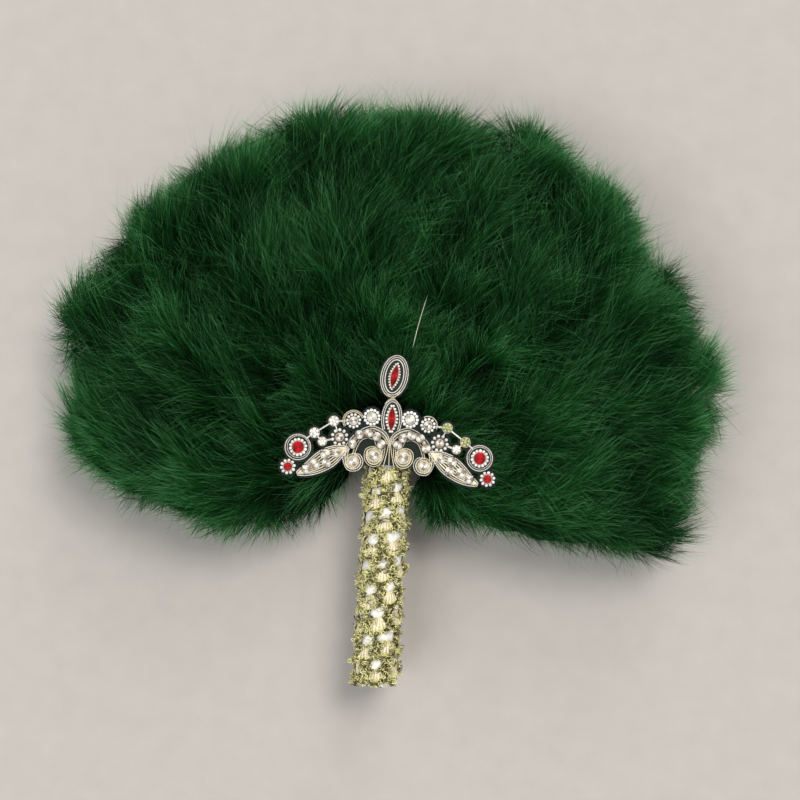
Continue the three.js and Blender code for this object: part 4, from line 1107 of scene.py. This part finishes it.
def beadedRosettes(sign, rng):
    for key, look in applique["rosettes"].items():
        x, y = sign * look["x"], look["y"]
        yield roundCushion(x, y, look["ring"] + 0.3, 0.7, 0.5)
        ring = ringSpots(x, y, look["ring"], look["beads"], rng.uniform(0, 1))
        tones = np.clip(look["tone"] + rng.uniform(-0.15, 0.15, look["beads"]), 0, 1)
        yield beads(ring, applique["beadHeight"], look["size"], tones, pearl)
        if key == "antique":
            yield wire(ringSpots(x, y, look["gem"] + 0.9, 28, 0, 2), 1.2, 0.6, 0.0, silver, 6)
        yield from collet(x, y, look["gem"], silver, 6, 0.7)
        yield cutStone(x, y, look["gem"], rng, crystal, 3.2, 0.7, (0.35 if key == "white" else 0.0, 1.0))
    coil = applique["rosettes"]["coil"]
    for radius, tone in ((6.6, 1.0), (7.7, 0.8))[:2 if sign < 0 else 1]:
        turn = np.radians(np.linspace(20, 215, 30) if sign < 0 else np.linspace(-20, 120, 26))
        yield cord((sign * coil["x"], coil["y"]) + radius * polar(turn), 0.7, tone, gold)
    for key, look in applique["flowers"].items():
        x, y = sign * look["x"], look["y"]
        glass = pearl if key == "pale" or sign < 0 else greenGlass
        petals = ringSpots(x, y, look["ring"], look["petals"], rng.uniform(0, 1))
        yield beads(petals, 1.0, look["size"], rng.uniform(0.5, 1.0, look["petals"]), glass)
        yield cutStone(x, y, look["ring"] * 0.62, rng, glass, 3.0, 0.8, (0.4, 1.0), 6, 0)
        yield wire(ringSpots(x, y, look["ring"] + 1.1, 24, 0, 2), 0.45, 0.35, 0.5, gold)
    for ends in applique["threads"]:
        for shift in (-0.35, 0.35):
            yield wire(np.linspace(*mirroredTo(sign, ends), 6) + (0, shift), 0.35, 0.26, 0.9, silver)


def scrollEmbroidery(rng):
    arch = applique["arch"]

    def onArch(sign, share):
        turn = pi * np.asarray(share)
        return mirroredTo(sign, (arch["x"], arch["y"]) + (arch["halfWidth"], arch["height"]) * polar(turn))

    for sign in (-1, 1):
        line = onApplique(onArch(sign, np.linspace(1.02, -0.04, 26)), 0.5)
        yield coiledWire(line, 3.4 * mm, 0.7 * mm, 0.35, gold, 7)
        for x, y in onArch(sign, arch["shares"]):
            yield roundCushion(x, y, arch["gem"] + 0.5, 2.1, 0.2, 18)
            yield cutStone(x, y, arch["gem"], rng, crystal, 4.5, 1.8)
        for number, spots in applique["wires"]:
            line = softLine(mirroredTo(sign, spots))
            across = besideOf(line)
            for shift in (-0.72, 0.72):
                yield cord(line + across * shift, 0.85, rng.uniform(0.8, 1.0), number, applique["doubleWire"])
        for x, y, radius in mirroredTo(sign, applique["volutes"]):
            yield roundCushion(x, y, radius + 1.4, 0.9, 0.25, 20)
            for reach, tone in ((1.0, 0.9), (2.2, 1.0)):
                yield cord(ringSpots(x, y, radius + reach, 26, 0, 2), 1.0, tone, gold, 0.7)
            yield from collet(x, y, radius, gold, 4, 0.7)
            yield cutStone(x, y, radius, rng, crystal, 3.8, 0.9)
    for end in applique["fan"]:
        line = softLine(((end[0] * 0.12, 8), (end[0] * 0.5, -1), end))
        yield cord(line, np.linspace(0.9, 0.3, len(line)), 0.9, gold, 0.8)
    for sign in (-1, 1):
        # the wires cross between the two marquise motifs
        cross = ((sign * 5.2, 45), (sign * 2.6, 42), (0.5, 40.4), (-sign * 2.6, 38.6), (-sign * 5, 35.6))
        yield cord(softLine(cross), 0.9, 0.7, gold, 0.95)


def makeApplique():
    materials = [yarnMaterial(*trim) for trim in trims]
    rng = np.random.default_rng(5)

    def sew(name, parts, node):
        buildMesh(name, parts, materials, node)

    for key in ("upper", "lower"):
        *mount, stone = marquiseMotif(applique[key + "Motif"], rng, key == "upper")
        sew(key + "_marquise_mount", mount, key + "_marquise_setting")
        sew(key + "_marquise_ruby", [stone], key + "_marquise_stone")
    for side, sign in (("left", -1), ("right", 1)):
        for key, wires in (("large", 2), ("small", 0)):
            *mount, stone = rubyMount(applique[key + "Ruby"], sign, rng, wires)
            sew(f"{side}_{key}_ruby_mount", mount, f"{side}_{key}_ruby_setting")
            sew(f"{side}_{key}_ruby", [stone], f"{side}_{key}_ruby_stone")
        sew(side + "_leaf_embroidery", leafEmbroidery(sign, rng), side + "_leaf")
        sew(side + "_beaded_rosettes", beadedRosettes(sign, rng), side + "_rosette_chain")
    sew("scroll_embroidery", scrollEmbroidery(rng), "scrollwork")
    print("applique: marquise motifs, rubies, leaves, rosettes and scrolls")


makeApplique()


bodyFinish = {
    "card": {"nodes": ("core_board", "handle_tube"), "color": (0.46, 0.33, 0.19), "roughness": 0.9,
             "grain": 500},
    "wood": {"nodes": ("butt_plug",), "color": (0.50, 0.33, 0.17), "roughness": 0.65, "grain": 160,
             "wave": (120, 3, "RINGS")},
    "felt": {"nodes": ("front_facing", "rear_facing"), "color": (0.0025, 0.016, 0.006), "roughness": 0.95,
             "grain": 1400, "sheen": 0.3},
    "net": {"nodes": ("applique_net",), "color": (0.0035, 0.0110, 0.0065), "roughness": 0.9, "grain": 1100,
            "wave": (700, 0.6, "BANDS")},
}


def finishBody():
    # card fibres, wood rings, felt fuzz and the threads of the net
    for kind, look in bodyFinish.items():
        material, tree, shader = newMaterial(kind)
        place = objectPlace(tree)
        grain = noise(tree, place, look["grain"], 4)
        if "wave" in look:
            grain = mixed(tree, 0.5, grain, wave(tree, place, *look["wave"]))
        rough = look["roughness"]
        fill(tree, shader, {
            "Base Color": shaded(tree, grain, look["color"], 0.72, 1.25),
            "Roughness": spread(tree, grain, rough * 0.85, min(1, rough * 1.1)),
            "Normal": bump(tree, grain, 0.5, 0.3 * mm), "Sheen Weight": look.get("sheen", 0.0),
        })
        for node in look["nodes"]:
            for slot in nodes[node].material_slots:
                slot.material = material
    print("board, tube, plug, facings and net finished")


finishBody()


stageLook = {
    "floorHeight": -37.5, "floorColor": (0.485, 0.452, 0.412), "floorReach": 12000,
    "distance": 1050, "aim": (5.6, 208, 8), "elevation": 86, "roll": 3.6, "viewWidth": 586,
}


def makeStage(look):
    reach, z = look["floorReach"] * mm, look["floorHeight"] * mm
    corners = [(x * reach, y * reach, z) for x, y in ((-1, -1), (1, -1), (1, 1), (-1, 1))]
    mesh = bpy.data.meshes.new("floor")
    mesh.from_pydata(corners, [], [(0, 1, 2, 3)])
    material, tree, shader = newMaterial("floorPaper")
    grain = noise(tree, objectPlace(tree), 60, 5)
    fill(tree, shader, {"Base Color": shaded(tree, grain, look["floorColor"], 0.97, 1.03), "Roughness": 0.9})
    mesh.materials.append(material)
    addObject("floor", mesh)


def makeCamera(look):
    data = bpy.data.cameras.new("camera")
    camera = addObject("camera", data)
    rise, roll = radians(look["elevation"]), radians(look["roll"])
    away = Vector((0, -cos(rise), sin(rise)))
    camera.location = Vector(look["aim"]) * mm + away * look["distance"] * mm
    back = away.normalized()
    right = Vector((-sin(roll), cos(roll), 0)).cross(back).normalized()
    turn = Matrix((right, back.cross(right), back)).transposed()
    camera.matrix_world = Matrix.Translation(camera.location) @ turn.to_4x4()
    data.sensor_width = 36
    data.lens = data.sensor_width * look["distance"] / look["viewWidth"]
    data.clip_start, data.clip_end = 0.01, 50
    scene.camera = camera


# each lamp's place is only its direction: broad, far, soft lamps light the whole floor alike
lampLook = {
    "key": {"place": (0.55, 0.75, 1.5), "spread": 29, "strength": 1.75, "color": (1.0, 0.98, 0.95)},
    "fill": {"place": (-1.0, -0.7, 1.4), "spread": 39, "strength": 1.2, "color": (0.96, 0.98, 1.0)},
    "rear": {"place": (0.3, 1.4, 0.7), "spread": 28, "strength": 0.75, "color": (1.0, 1.0, 1.0)},
}
skyLook = {"strength": 0.46, "color": (0.9, 0.92, 0.95, 1), "seenColor": (0.72, 0.69, 0.66, 1)}


def makeLamps():
    for name, look in lampLook.items():
        data = bpy.data.lights.new(name, "SUN")
        data.angle = radians(look["spread"])
        data.energy = look["strength"]
        data.color = look["color"]
        addObject(name, data).rotation_euler = (-Vector(look["place"])).to_track_quat("-Z", "Y").to_euler()


def makeSky(look):
    # the camera, gloss and glass see a plain pale backdrop, everything else the sky's own light
    scene.world = bpy.data.worlds.new("studio")
    scene.world.use_nodes = True
    tree = scene.world.node_tree
    sky = fill(tree, tree.nodes["Background"], {"Color": look["color"], "Strength": look["strength"]})
    seen = addNode(tree, "Background", "Background", {"Color": look["seenColor"]})
    path = tree.nodes.new("ShaderNodeLightPath").outputs
    either = path["Is Camera Ray"]
    for ray in ("Is Glossy Ray", "Is Transmission Ray"):
        either = addNode(tree, "Math", "Value", {0: either, 1: path[ray]}, operation="MAXIMUM")
    pick = addNode(tree, "MixShader", "Shader", {"Fac": either, 1: sky.outputs["Background"], 2: seen})
    fill(tree, tree.nodes["World Output"], {"Surface": pick})


makeStage(stageLook)
makeCamera(stageLook)
makeLamps()
makeSky(skyLook)
scene.view_settings.view_transform = "Standard"
print("stage, camera and lamps")
